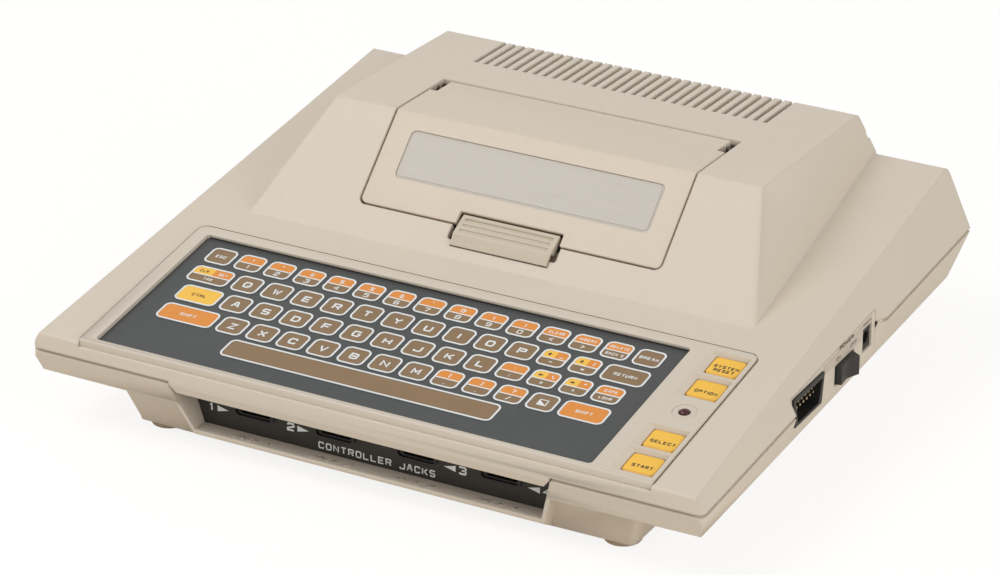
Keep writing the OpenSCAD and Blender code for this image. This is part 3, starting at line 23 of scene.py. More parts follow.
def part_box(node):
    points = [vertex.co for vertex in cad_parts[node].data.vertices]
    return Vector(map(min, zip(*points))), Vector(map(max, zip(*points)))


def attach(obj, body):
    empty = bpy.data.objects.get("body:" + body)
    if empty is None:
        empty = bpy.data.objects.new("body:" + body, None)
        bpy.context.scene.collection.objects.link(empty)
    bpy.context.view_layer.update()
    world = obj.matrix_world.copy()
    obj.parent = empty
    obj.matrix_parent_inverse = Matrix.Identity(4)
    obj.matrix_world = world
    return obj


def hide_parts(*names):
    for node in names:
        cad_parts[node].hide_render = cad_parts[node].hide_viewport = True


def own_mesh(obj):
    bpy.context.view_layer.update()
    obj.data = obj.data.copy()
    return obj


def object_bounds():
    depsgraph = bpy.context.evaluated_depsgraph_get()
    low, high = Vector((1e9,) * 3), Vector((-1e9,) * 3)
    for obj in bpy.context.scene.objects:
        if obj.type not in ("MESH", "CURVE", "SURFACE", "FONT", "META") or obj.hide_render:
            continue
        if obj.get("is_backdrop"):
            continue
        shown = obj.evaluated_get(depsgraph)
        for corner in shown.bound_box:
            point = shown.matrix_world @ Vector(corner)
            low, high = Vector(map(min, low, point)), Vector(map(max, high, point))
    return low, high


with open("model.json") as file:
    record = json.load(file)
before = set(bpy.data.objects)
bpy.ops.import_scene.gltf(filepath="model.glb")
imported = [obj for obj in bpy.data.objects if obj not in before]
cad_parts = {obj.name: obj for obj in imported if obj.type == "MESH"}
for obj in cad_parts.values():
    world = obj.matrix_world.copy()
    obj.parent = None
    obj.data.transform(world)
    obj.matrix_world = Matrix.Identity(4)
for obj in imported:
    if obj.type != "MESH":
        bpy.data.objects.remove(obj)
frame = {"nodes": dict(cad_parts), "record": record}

MM = 0.001
LOG = logging.getLogger("home_computer")
BLACK = (0.0, 0.0, 0.0, 1.0)
WHITE = (1.0, 1.0, 1.0, 1.0)
SIDEWAYS, UPWARDS = Vector((1, 0, 0)), Vector((0, 0, 1))
# The least radius of a patch's corner, in millimetres.
LEAST_RADIUS = 0.05
# Where a print begins, in millimetres from the face that it lies on.
SUNK = -0.02
# Cosines: a face that looks the right way, one that looks sideways, one that is parallel.
FACING, SIDELONG, PARALLEL = 0.8, 0.7, 0.9999
# How far apart, in metres, the faces of one flat may lie.
ONE_LEVEL = 5e-5

Colour = tuple[int, int, int]
Place = tuple[float, float, float]
Point = tuple[float, float]
Inputs = dict[str | int, object]
Material, Mesh, Piece = bpy.types.Material, bpy.types.Mesh, bpy.types.Object
Node, Socket, Tree = bpy.types.Node, bpy.types.NodeSocket, bpy.types.NodeTree
Sockets = bpy.types.bpy_prop_collection


def linear(colour: Colour) -> tuple[float, float, float, float]:
    """Turn a display colour into the linear colour that the shaders take.

    Args:
        colour: Red, green and blue from 0 to 255.

    Returns:
        Linear red, green, blue and an alpha of 1.
    """
    def channel(value: int) -> float:
        """Undo the display curve of one channel."""
        v = value / 255
        return v / 12.92 if v <= 0.04045 else ((v + 0.055) / 1.055) ** 2.4

    return (*(channel(v) for v in colour), 1.0)


class Tint(Enum):
    """The colours of the mouldings and of the keyboard's inks."""

    CASE = (222, 210, 193)
    BEZEL = (219, 208, 192)
    DOOR = (223, 209, 190)
    LATCH = (211, 199, 179)
    GRIME = (150, 132, 106)
    MEMBRANE = (66, 69, 69)
    BROWN = (137, 110, 76)
    ORANGE = (232, 146, 57)
    YELLOW = (255, 201, 78)
    AMBER = (255, 201, 74)
    WHITE = (240, 243, 243)
    LETTER_DARK = (50, 36, 26)
    PANEL = (50, 45, 41)
    SOCKET = (34, 33, 33)
    ROCKER = (48, 48, 46)
    LAMP = (78, 18, 24)
    PLATE = (186, 179, 169)
    FOIL = (206, 193, 178)
    STEEL = (176, 177, 180)
    CAST = (150, 152, 154)
    GOLD = (224, 206, 166)
    SOLDER_MASK = (34, 82, 50)
    COPPER = (62, 118, 72)
    CHIP = (38, 38, 40)
    RUBBER = (198, 178, 155)
    DOME = (60, 60, 62)
    SLEEVE = (40, 58, 104)
    FILM = (196, 180, 132)
    # Painted shade: the dark brown of the strips that stand in the gaps round the keyboard's
    # bezel.
    SEAM = (84, 66, 50)
    ROD = (92, 88, 84)
    FLOOR = (246, 240, 231)


# ---------------------------------------------------------------- places on the frame
def axes(origin: Vector, *along: Vector) -> Matrix:
    """The matrix of a frame, from its origin and its three directions."""
    return Matrix.Translation(origin) @ Matrix(along).transposed().to_4x4()


@dataclass(frozen=True)
class Face:
    """A flat face of a CAD node, as a frame to lay pieces on.

    The frame's x runs along the face, y up it and z out of it, and x is 0 in the middle of the
    machine or, on a face that looks sideways, at the machine's middle depth.
    """

    matrix: Matrix
    low: Point = (0.0, 0.0)
    high: Point = (0.0, 0.0)

    @staticmethod
    def of_node(node: str, toward: Sequence[float]) -> "Face":
        """Find the largest flat face of a node that looks in a direction.

        Args:
            node: Name of the CAD node.
            toward: The direction in which the face looks, roughly.

        Returns:
            The face's frame, with its low and high corner in millimetres.
        """
        mesh = frame["nodes"][node].data
        aim = Vector(toward).normalized()
        areas: dict[tuple[float, ...], float] = {}
        planes: dict[tuple[float, ...], tuple[Vector, float]] = {}
        for polygon in mesh.polygons:
            if polygon.normal.dot(aim) > FACING:
                level = polygon.center.dot(polygon.normal)
                key = (*(round(v, 2) for v in polygon.normal), round(level, 4))
                areas[key] = areas.get(key, 0.0) + polygon.area
                planes.setdefault(key, (polygon.normal.copy(), level))
        normal, level = planes[max(areas, key=lambda k: areas[k])]
        along = Vector((0, 1, 0)) if abs(normal.x) > SIDELONG else SIDEWAYS
        up = normal.cross(along).normalized()
        points = [mesh.vertices[i].co for p in mesh.polygons
                  if p.normal.dot(normal) > PARALLEL
                  and abs(p.center.dot(normal) - level) < ONE_LEVEL for i in p.vertices]
        matrix = axes(normal * level + up * min(p.dot(up) for p in points), along, up, normal)
        inverse = matrix.inverted()
        local = [inverse @ p for p in points]
        return Face(matrix, (min(p.x for p in local) / MM, 0.0),
                    (max(p.x for p in local) / MM, max(p.y for p in local) / MM))

    @staticmethod
    def under(node: str, above: Sequence[float]) -> "Face":
        """Find the face of a node that lies straight below a point.

        Args:
            node: Name of the CAD node.
            above: The point in millimetres; it becomes the face's 0, 0.

        Returns:
            The face's frame, with nothing said of its corners.
        """
        mesh = frame["nodes"][node].data
        skin = BVHTree.FromPolygons([v.co for v in mesh.vertices],
                                    [p.vertices for p in mesh.polygons])
        place, normal, _, _ = skin.ray_cast(Vector(above) * MM, Vector((0, 0, -1)))
        if place is None:
            raise ValueError(f"nothing of {node} lies under {above}")
        up = normal.cross(SIDEWAYS).normalized()
        return Face(axes(place, SIDEWAYS, up, normal))

    def at(self, x: float, y: float, z: float) -> Point:
        """Where a point of the machine, in millimetres, falls on the face."""
        local = self.matrix.inverted() @ (Vector((x, y, z)) * MM) / MM
        return local.x, local.y

    @property
    def middle(self) -> Point:
        """The middle of the face in its own frame."""
        return (self.low[0] + self.high[0]) / 2, (self.low[1] + self.high[1]) / 2


@dataclass(frozen=True)
class Patch:
    """A rectangle with rounded corners on a face, in millimetres."""

    x: float
    y: float
    width: float
    height: float
    radius: float

    def shrunk(self, by: float) -> "Patch":
        """The same patch with every edge moved inwards."""
        return Patch(self.x, self.y, self.width - 2 * by, self.height - 2 * by,
                     max(self.radius - by, LEAST_RADIUS))

    def outline(self, steps: int = 5) -> list[Point]:
        """List the patch's corner points, anticlockwise.

        Args:
            steps: Number of chords in each rounded corner.

        Returns:
            The outline's points.
        """
        points: list[Point] = []
        half_w, half_h = self.width / 2 - self.radius, self.height / 2 - self.radius
        for corner, (sx, sy) in enumerate(((1, 1), (-1, 1), (-1, -1), (1, -1))):
            for k in range(steps + 1):
                turn = math.radians(90 * corner + 90 * k / steps)
                points.append((self.x + sx * half_w + self.radius * math.cos(turn),
                               self.y + sy * half_h + self.radius * math.sin(turn)))
        return points


def clip(points: list[Point], axis: int, limit: float, keep_low: bool) -> list[Point]:
    """Cut an outline along a straight line.

    Args:
        points: The outline, anticlockwise and convex.
        axis: 0 to cut across x, 1 to cut across y.
        limit: Where the line lies.
        keep_low: True to keep what lies below the line.

    Returns:
        The outline that is left.
    """
    side = -1.0 if keep_low else 1.0
    left: list[Point] = []
    for a, b in zip(points, points[1:] + points[:1]):
        da, db = side * (a[axis] - limit), side * (b[axis] - limit)
        if da >= 0:
            left.append(a)
        if (da < 0) != (db < 0):
            t = da / (da - db)
            left.append((a[0] + t * (b[0] - a[0]), a[1] + t * (b[1] - a[1])))
    return left


# ---------------------------------------------------------------- shader node groups
class Graph:
    """A small hand for building node trees: nodes by type, links by socket name."""

    def __init__(self, tree: Tree) -> None:
        """Keep the tree that the nodes go into."""
        self.tree = tree

    def feed(self, node: Node, inputs: Inputs) -> Node:
        """Link or set some inputs of a node.

        Args:
            node: The node.
            inputs: Values or output sockets for the node's inputs, by name or number.

        Returns:
            The same node.
        """
        for name, value in inputs.items():
            if isinstance(value, Socket):
                self.tree.links.new(value, node.inputs[name])
            else:
                node.inputs[name].default_value = value
        return node

    def node(self, kind: str, inputs: Inputs | None = None, **settings: object) -> Node:
        """Add a node.

        Args:
            kind: The node's type without its ShaderNode prefix, or a Node* type in full.
            inputs: Values or output sockets for the node's inputs, by name or number.
            **settings: Attributes of the node itself.

        Returns:
            The new node.
        """
        made = self.tree.nodes.new(kind if kind.startswith("Node") else "ShaderNode" + kind)
        for name, value in settings.items():
            setattr(made, name, value)
        return self.feed(made, inputs or {})

    def math(self, operation: str, a: object, b: object = 0.0, clamp: bool = False) -> Socket:
        """Add a Math node and give its result."""
        return self.node("Math", {0: a, 1: b}, operation=operation, use_clamp=clamp).outputs[0]

    def mix(self, factor: object, a: object, b: object) -> Socket:
        """Mix two colours by a factor and give the result."""
        return self.node("Mix", {0: factor, 6: a, 7: b}, data_type="RGBA").outputs[2]

    def place(self) -> Socket:
        """Where a point lies on its own object."""
        return self.node("TexCoord").outputs["Object"]

    def scale(self, size: Socket) -> Socket:
        """The scale of a texture whose features have a size in millimetres."""
        return self.math("DIVIDE", 1 / MM, size)

    def group(self, tree: Tree, inputs: Inputs) -> Sockets:
        """Put a node group into the tree with its own values and give its outputs."""
        return self.node("Group", inputs, node_tree=tree).outputs

    def bump(self, height: object, strength: float, depth: float, **above: object) -> Socket:
        """Turn a height into a normal.

        Args:
            height: The height, from 0 to 1.
            strength: How much of it shows.
            depth: What a height of 1 stands for, in millimetres.
            **above: The Normal that it is laid over, where there is one.

        Returns:
            The normal.
        """
        return self.node("Bump", {"Height": height, "Strength": strength,
                                  "Distance": depth * MM, **above}).outputs[0]

    def ramp(self, factor: object, low: float, high: float) -> Socket:
        """Stretch a value between two levels to the range from 0 to 1."""
        return self.node("MapRange", {0: factor, 1: low, 2: high}).outputs[0]


class Effects:
    """The shader node groups that several finishes share, each built once."""

    # Pits against grains: their scale and their share of the height.
    PIT_SCALE, PIT_SHARE = 0.45, 0.35
    # Cosines between the flat and the rounded normal where an edge begins and is full.
    EDGE_RANGE = (0.995, 0.85)
    # Specks of grime: their scale, and the noise levels where one begins and is full.
    SPECK_SCALE, SPECK_RANGE = 220.0, (0.62, 0.72)
    # What the specks add to the grime and to the roughness.
    SPECK_GRIME, SPECK_ROUGH = 0.35, 0.18
    # How much of its saturation a worn edge keeps.
    WORN_SATURATION = 0.9
    # Brushed lines: how far they are drawn out along x, and the scale of the streaks.
    DRAWN_OUT, STREAK_SCALE = 0.02, 0.12
    # Tracks between the pads of a board: their scale.
    MAZE_SCALE = 0.35

    def __init__(self) -> None:
        """Build the groups."""
        self.grain = self._moulded_grain()
        self.edges = self._soft_edges()
        self.wear = self._handling_wear()
        self.brushed = self._brushed_lines()
        self.tracks = self._copper_tracks()

    @staticmethod
    def _begin(name: str, inputs: dict[str, tuple[str, object]], outputs: dict[str, str]
               ) -> tuple[Graph, Sockets, Node]:
        """Start a group with named sockets.

        Args:
            name: Name of the group.
            inputs: Socket type and default of each input, by name.
            outputs: Socket type of each output, by name.

        Returns:
            The graph, the sockets that carry what is given, and the output node.
        """
        tree = bpy.data.node_groups.new(name, "ShaderNodeTree")
        for label, (kind, default) in inputs.items():
            socket = tree.interface.new_socket(label, in_out="INPUT",
                                               socket_type="NodeSocket" + kind)
            if default is not None:
                socket.default_value = default
        for label, kind in outputs.items():
            tree.interface.new_socket(label, in_out="OUTPUT", socket_type="NodeSocket" + kind)
        graph = Graph(tree)
        return graph, graph.node("NodeGroupInput").outputs, graph.node("NodeGroupOutput")

    def _moulded_grain(self) -> Tree:
        """Fine texture of a spark-eroded mould, with the slow unevenness of the plastic.

        Returns:
            The node group.
        """
        g, given, out = self._begin(
            "Moulded grain", {"Grain size": ("Float", 0.5), "Mottle size": ("Float", 60.0)},
            {"Height": "Float", "Mottle": "Float"})
        place = g.place()
        fine_scale = g.scale(given["Grain size"])
        slow_scale = g.scale(given["Mottle size"])
        fine = g.node("TexNoise", {"Vector": place, "Scale": fine_scale, "Detail": 2.0})
        pits = g.node("TexVoronoi", {"Vector": place,
                                     "Scale": g.math("MULTIPLY", fine_scale, self.PIT_SCALE)})
        height = g.math("ADD", fine.outputs[0],
                        g.math("MULTIPLY", pits.outputs[0], self.PIT_SHARE))
        slow = g.node("TexNoise", {"Vector": place, "Scale": slow_scale, "Detail": 4.0,
                                   "Roughness": 0.6})
        g.feed(out, {"Height": height, "Mottle": g.ramp(slow.outputs[0], 0.3, 0.7)})
        return g.tree

    def _soft_edges(self) -> Tree:
        """Normal that rounds the edges off, and a mask of where they are.

        Returns:
            The node group.
        """
        g, given, out = self._begin("Soft edges", {"Radius": ("Float", 0.0006)},
                                    {"Normal": "Vector", "Edge": "Float"})
        bevel = g.node("Bevel", {"Radius": given["Radius"]}, samples=6)
        flat = g.node("NewGeometry").outputs["Normal"]
        turn = g.node("VectorMath", {0: bevel.outputs[0], 1: flat}, operation="DOT_PRODUCT")
        edge = g.ramp(turn.outputs["Value"], *self.EDGE_RANGE)
        g.feed(out, {"Normal": bevel.outputs[0], "Edge": edge})
        return g.tree

    def _handling_wear(self) -> Tree:
        """Colour and roughness of plastic that has been handled: pale edges, grime, tone.

        Returns:
            The node group.
        """
        g, given, out = self._begin(
            "Handling wear",
            {"Colour": ("Color", None), "Grime colour": ("Color", None), "Mottle": ("Float", 0.5),
             "Edge": ("Float", 0.0), "Edge lift": ("Float", 0.1), "Grime": ("Float", 0.1),
             "Tone": ("Float", 0.05), "Roughness": ("Float", 0.5)},
            {"Colour": "Color", "Roughness": "Float"})
        place = g.place()
        specks = g.node("TexNoise", {"Vector": place, "Scale": self.SPECK_SCALE, "Detail": 3.0})
        speck_mask = g.ramp(specks.outputs[0], *self.SPECK_RANGE)
        speckled = g.math("ADD", g.math("MULTIPLY", speck_mask, self.SPECK_GRIME),
                          given["Mottle"])
        grime = g.math("MULTIPLY", speckled, given["Grime"], True)
        toned = g.mix(grime, given["Colour"], given["Grime colour"])
        spread = g.math("MULTIPLY", g.math("SUBTRACT", given["Mottle"], 0.5), given["Tone"])
        varied = g.node("HueSaturation", {"Color": toned, "Value": g.math("ADD", spread, 1.0)})
        lifted = g.node("HueSaturation", {
            "Color": varied.outputs[0], "Saturation": self.WORN_SATURATION,
            "Value": g.math("ADD", given["Edge lift"], 1.0)})
        worn = g.mix(given["Edge"], varied.outputs[0], lifted.outputs[0])
        uneven = g.math("MULTIPLY", g.math("SUBTRACT", specks.outputs[0], 0.5),
                        self.SPECK_ROUGH)
        rough = g.math("ADD", given["Roughness"], uneven, True)
        g.feed(out, {"Colour": worn, "Roughness": rough})
        return g.tree

    def _brushed_lines(self) -> Tree:
        """Fine lines that run along x, as brushing or drawing leaves them on metal.

        Returns:
            The node group.
        """
        g, given, out = self._begin("Brushed lines", {"Line width": ("Float", 0.12)},
                                    {"Height": "Float", "Streak": "Float"})
        place = g.place()
        stretched = g.node("Mapping", {"Vector": place, "Scale": (self.DRAWN_OUT, 1.0, 1.0)})
        scale = g.scale(given["Line width"])
        lines = g.node("TexNoise", {"Vector": stretched.outputs[0], "Scale": scale,
                                    "Detail": 3.0})
        wide_scale = g.math("MULTIPLY", scale, self.STREAK_SCALE)
        wide = g.node("TexNoise", {"Vector": stretched.outputs[0], "Scale": wide_scale,
                                   "Detail": 2.0})
        g.feed(out, {"Height": lines.outputs[0], "Streak": g.ramp(wide.outputs[0], 0.35, 0.65)})
        return g.tree

    def _copper_tracks(self) -> Tree:
        """Tracks and pads under the solder mask of a circuit board.

        Returns:
            The node group.
        """
        g, given, out = self._begin("Copper tracks", {"Pitch": ("Float", 2.54)},
                                    {"Track": "Float", "Pad": "Float"})
        place = g.place()
        scale = g.scale(given["Pitch"])
        maze_scale = g.math("MULTIPLY", scale, self.MAZE_SCALE)
        maze = g.node("TexBrick", {"Vector": place, "Scale": maze_scale, "Mortar Size": 0.09,
                                   "Bias": 0.0, "Brick Width": 2.7, "Row Height": 0.6})
        cells = g.node("TexVoronoi", {"Vector": place, "Scale": scale, "Randomness": 0.15})
        g.feed(out, {"Track": maze.outputs["Fac"], "Pad": g.ramp(cells.outputs[0], 0.24, 0.2)})
        return g.tree


# ---------------------------------------------------------------- finishes
@dataclass(frozen=True)
class Finish:
    """A surface finish. Subclasses say what its Principled shader gets."""

    name: str
    tint: Tint

    def surface(self, graph: Graph, effects: Effects) -> Inputs:
        """Build the finish's textures.

        Args:
            graph: The material's tree.
            effects: The shared node groups.

        Returns:
            Values and sockets for the shader's inputs.
        """
        raise NotImplementedError

    def shade(self, share: float) -> tuple[float, ...]:
        """The finish's linear colour, darkened to a share of its light."""
        return (*(v * share for v in linear(self.tint.value)[:3]), 1.0)

    def material(self, effects: Effects) -> Material:
        """Build the finish's material.

        Args:
            effects: The shared node groups.

        Returns:
            The new material.
        """
        made = bpy.data.materials.new(self.name)
        made.use_nodes = True
        made.diffuse_color = linear(self.tint.value)
        graph = Graph(made.node_tree)
        graph.feed(made.node_tree.nodes["Principled BSDF"], self.surface(graph, effects))
        return made


@dataclass(frozen=True)
class MouldedPlastic(Finish):
    """Injection-moulded plastic with a fine texture and softly broken edges."""

    roughness: float = 0.5
    grain: float = 0.5
    depth: float = 0.05
    edge: float = 0.7
    edge_lift: float = 0.07
    grime: float = 0.06
    tone: float = 0.05
    specular: float = 0.4

    def colour(self, graph: Graph) -> object:
        """The colour before wear."""
        return linear(self.tint.value)

    def surface(self, graph: Graph, effects: Effects) -> Inputs:
        """Worn colour and roughness, and a grained, soft-edged normal.

        Args:
            graph: The material's tree.
            effects: The shared node groups.

        Returns:
            Values and sockets for the shader's inputs.
        """
        grain = graph.group(effects.grain, {"Grain size": self.grain})
        edges = graph.group(effects.edges, {"Radius": self.edge * MM})
        wear = graph.group(effects.wear, {
            "Colour": self.colour(graph), "Grime colour": linear(Tint.GRIME.value),
            "Mottle": grain["Mottle"], "Edge": edges["Edge"], "Edge lift": self.edge_lift,
            "Grime": self.grime, "Tone": self.tone, "Roughness": self.roughness})
        return {"Base Color": wear["Colour"], "Roughness": wear["Roughness"],
                "Normal": graph.bump(grain["Height"], 0.6, self.depth, Normal=edges["Normal"]),
                "Specular IOR Level": self.specular}


@dataclass(frozen=True)
class OutlinedMembrane(MouldedPlastic):
    """Dark membrane foil whose raised key outlines are printed white."""

    outline_from: float = 0.08

    def colour(self, graph: Graph) -> object:
        """White where the foil stands up in an outline, and its own tint elsewhere.

        Args:
            graph: The material's tree.

        Returns:
            The mixed colour.
        """
        face = Face.of_node("membrane_overlay", UPWARDS)
        normal = face.matrix.to_3x3() @ UPWARDS
        level = face.matrix.translation.dot(normal)
        height = graph.node("VectorMath", {0: graph.place(), 1: normal}, operation="DOT_PRODUCT")
        raised = graph.ramp(height.outputs["Value"], level + self.outline_from * MM,
                            level + 2 * self.outline_from * MM)
        return graph.mix(raised, linear(self.tint.value), linear(Tint.WHITE.value))


@dataclass(frozen=True)
class PrintedInk(Finish):
    """Screen-printed ink, with the slight unevenness of its film."""

    roughness: float = 0.5
    grain: float = 0.35
    mottle: float = 9.0
    depth: float = 0.01
    grime: float = 0.03
    tone: float = 0.06

    def surface(self, graph: Graph, effects: Effects) -> Inputs:
        """An uneven film of ink.

        Args:
            graph: The material's tree.
            effects: The shared node groups.

        Returns:
            Values and sockets for the shader's inputs.
        """
        grain = graph.group(effects.grain, {"Grain size": self.grain, "Mottle size": self.mottle})
        wear = graph.group(effects.wear, {
            "Colour": linear(self.tint.value), "Grime colour": linear(Tint.GRIME.value),
            "Mottle": grain["Mottle"], "Grime": self.grime, "Tone": self.tone,
            "Roughness": self.roughness})
        return {"Base Color": wear["Colour"], "Roughness": wear["Roughness"],
                "Normal": graph.bump(grain["Height"], 0.5, self.depth)}


@dataclass(frozen=True)
class BrushedMetal(Finish):
    """Metal with fine lines along x: rods, plates, springs and screws."""

    roughness: float = 0.34
    line: float = 0.12
    depth: float = 0.02
    edge: float = 0.2
    metallic: float = 1.0
    streak: float = 0.2
    spread: float = 0.18

    def surface(self, graph: Graph, effects: Effects) -> Inputs:
        """Streaks in colour, roughness and height.

        Args:
            graph: The material's tree.
            effects: The shared node groups.

        Returns:
            Values and sockets for the shader's inputs.
        """
        brushed = graph.group(effects.brushed, {"Line width": self.line})
        edges = graph.group(effects.edges, {"Radius": self.edge * MM})
        colour = graph.mix(brushed["Streak"], self.shade(1 - self.streak), self.shade(1.0))
        rough = graph.math("ADD", graph.math("MULTIPLY", brushed["Height"], self.spread),
                           self.roughness - self.spread / 2)
        return {"Base Color": colour, "Roughness": rough, "Metallic": self.metallic,
                "Normal": graph.bump(brushed["Height"], 0.5, self.depth,
                                     Normal=edges["Normal"])}


@dataclass(frozen=True)
class CastMetal(Finish):
    """Sand-cast aluminium: coarse skin, dull grey."""

    roughness: float = 0.55
    grain: float = 1.4
    mottle: float = 25.0
    depth: float = 0.15
    edge: float = 0.6
    metallic: float = 0.85
    dark: float = 0.72
    spread: float = 0.2

    def surface(self, graph: Graph, effects: Effects) -> Inputs:
        """A coarse skin.

        Args:
            graph: The material's tree.
            effects: The shared node groups.

        Returns:
            Values and sockets for the shader's inputs.
        """
        grain = graph.group(effects.grain, {"Grain size": self.grain, "Mottle size": self.mottle})
        edges = graph.group(effects.edges, {"Radius": self.edge * MM})
        colour = graph.mix(grain["Mottle"], self.shade(self.dark), self.shade(1.0))
        rough = graph.math("ADD", graph.math("MULTIPLY", grain["Mottle"], self.spread),
                           self.roughness - self.spread / 2)
        return {"Base Color": colour, "Roughness": rough, "Metallic": self.metallic,
                "Normal": graph.bump(grain["Height"], 0.7, self.depth, Normal=edges["Normal"])}


@dataclass(frozen=True)
class CircuitBoard(Finish):
    """Glass-fibre board with copper tracks under a solder mask."""

    roughness: float = 0.32
    pitch: float = 2.54
    depth: float = 0.04
    spread: float = 0.1

    def surface(self, graph: Graph, effects: Effects) -> Inputs:
        """Tracks, pads and their relief.

        Args:
            graph: The material's tree.
            effects: The shared node groups.

        Returns:
            Values and sockets for the shader's inputs.
        """
        tracks = graph.group(effects.tracks, {"Pitch": self.pitch})
        traced = graph.mix(tracks["Track"], self.shade(1.0), linear(Tint.COPPER.value))
        rough = graph.math("SUBTRACT", self.roughness + self.spread / 2,
                           graph.math("MULTIPLY", tracks["Pad"], self.spread))
        relief = graph.math("ADD", tracks["Track"], tracks["Pad"])
        return {"Base Color": graph.mix(tracks["Pad"], traced, linear(Tint.STEEL.value)),
                "Roughness": rough, "Normal": graph.bump(relief, 0.5, self.depth)}


@dataclass(frozen=True)
class LampLens(Finish):
    """Dark red lens of an unlit lamp."""

    roughness: float = 0.22
    specular: float = 0.35
    grain: float = 0.8
    mottle: float = 3.0
    dark: float = 0.55

    def surface(self, graph: Graph, effects: Effects) -> Inputs:
        """A deep, polished red.

        Args:
            graph: The material's tree.
            effects: The shared node groups.

        Returns:
            Values and sockets for the shader's inputs.
        """
        grain = graph.group(effects.grain, {"Grain size": self.grain, "Mottle size": self.mottle})
        depth = graph.mix(grain["Mottle"], self.shade(self.dark), self.shade(1.0))
        return {"Base Color": depth, "Roughness": self.roughness,
                "Specular IOR Level": self.specular}


class Paintbox:
    """The finishes by the names of the record's material slots, made on first use."""

    def __init__(self, effects: Effects) -> None:
        """List the finishes.

        Args:
            effects: The shared node groups.
        """
        self.effects = effects
        self.made: dict[str, Material] = {}
        beige = {"roughness": 0.52, "grain": 0.55, "depth": 0.05}
        dark = {"edge_lift": 0.5, "grime": 0.02, "edge": 0.35}
        finishes = (
            MouldedPlastic("case_plastic", Tint.CASE, edge=1.3, **beige),
            MouldedPlastic("bezel_plastic", Tint.BEZEL, edge=0.5, **beige),
            MouldedPlastic("door_plastic", Tint.DOOR, edge=0.7, **beige),
            MouldedPlastic("latch_plastic", Tint.LATCH, edge=0.6, **beige),
            OutlinedMembrane("membrane", Tint.MEMBRANE, roughness=0.48, grain=0.4, depth=0.02,
                             edge=0.12, edge_lift=0.05, grime=0.02, tone=0.08),
            MouldedPlastic("key_amber", Tint.AMBER, roughness=0.42, depth=0.02, edge=0.5,
                           edge_lift=0.1, grime=0.03),
            MouldedPlastic("panel_black", Tint.PANEL, roughness=0.55, **dark),
            MouldedPlastic("socket_black", Tint.SOCKET, roughness=0.42, **dark),
            MouldedPlastic("rocker_grey", Tint.ROCKER, roughness=0.5, **dark),
            MouldedPlastic("chip_black", Tint.CHIP, roughness=0.6, **dark),
            MouldedPlastic("guide_black", Tint.CHIP, roughness=0.5, **dark),
            MouldedPlastic("guide_plastic", Tint.LATCH, grime=0.12),
            MouldedPlastic("speaker_black", Tint.CHIP, roughness=0.8, grain=1.2, depth=0.2),
            MouldedPlastic("foot_rubber", Tint.RUBBER, roughness=0.8, grain=0.8, depth=0.1,
                           grime=0.2, specular=0.2),
            MouldedPlastic("dome_rubber", Tint.DOME, roughness=0.7, specular=0.25),
            MouldedPlastic("capacitor_blue", Tint.SLEEVE, roughness=0.25, depth=0.01),
            MouldedPlastic("circuit_film", Tint.FILM, roughness=0.2, depth=0.01, edge=0.1),
            MouldedPlastic("flat_cable", Tint.FILM, roughness=0.3, depth=0.01, edge=0.1),
            BrushedMetal("backing_steel", Tint.STEEL),
            BrushedMetal("rod_steel", Tint.ROD, roughness=0.5, streak=0.1),
            BrushedMetal("spring_steel", Tint.STEEL, line=0.05),
            BrushedMetal("can_steel", Tint.STEEL, roughness=0.3, line=0.3),
            BrushedMetal("screw_steel", Tint.STEEL, roughness=0.4),
            BrushedMetal("badge_metal", Tint.PLATE, roughness=0.5, line=0.08, depth=0.004,
                         metallic=0.15, streak=0.04),
            BrushedMetal("label_foil", Tint.FOIL, roughness=0.55, line=0.1, depth=0.004,
                         metallic=0.05, streak=0.04),
            BrushedMetal("heat_sink_metal", Tint.CAST, roughness=0.4, line=0.25),
            BrushedMetal("pin_gold", Tint.GOLD, roughness=0.25, line=0.06),
            CastMetal("cast_shield", Tint.CAST), CircuitBoard("board_green", Tint.SOLDER_MASK),
            LampLens("lamp_red", Tint.LAMP),
            PrintedInk("ink_white", Tint.WHITE), PrintedInk("ink_dark", Tint.LETTER_DARK),
            PrintedInk("ink_brown", Tint.BROWN), PrintedInk("ink_orange", Tint.ORANGE),
            PrintedInk("ink_yellow", Tint.YELLOW),
            # Painted shade, not ink: the finish of the dark strips in the gaps round the bezel.
            PrintedInk("seam_shadow", Tint.SEAM, roughness=0.9))
        self.finishes = {finish.name: finish for finish in finishes}

    def __getitem__(self, name: str) -> Material:
        """The material of a finish, built when it is first asked for.

        Args:
            name: The finish's name.

        Returns:
            Its material.
        """
        if name not in self.made:
            self.made[name] = self.finishes[name].material(self.effects)
        return self.made[name]


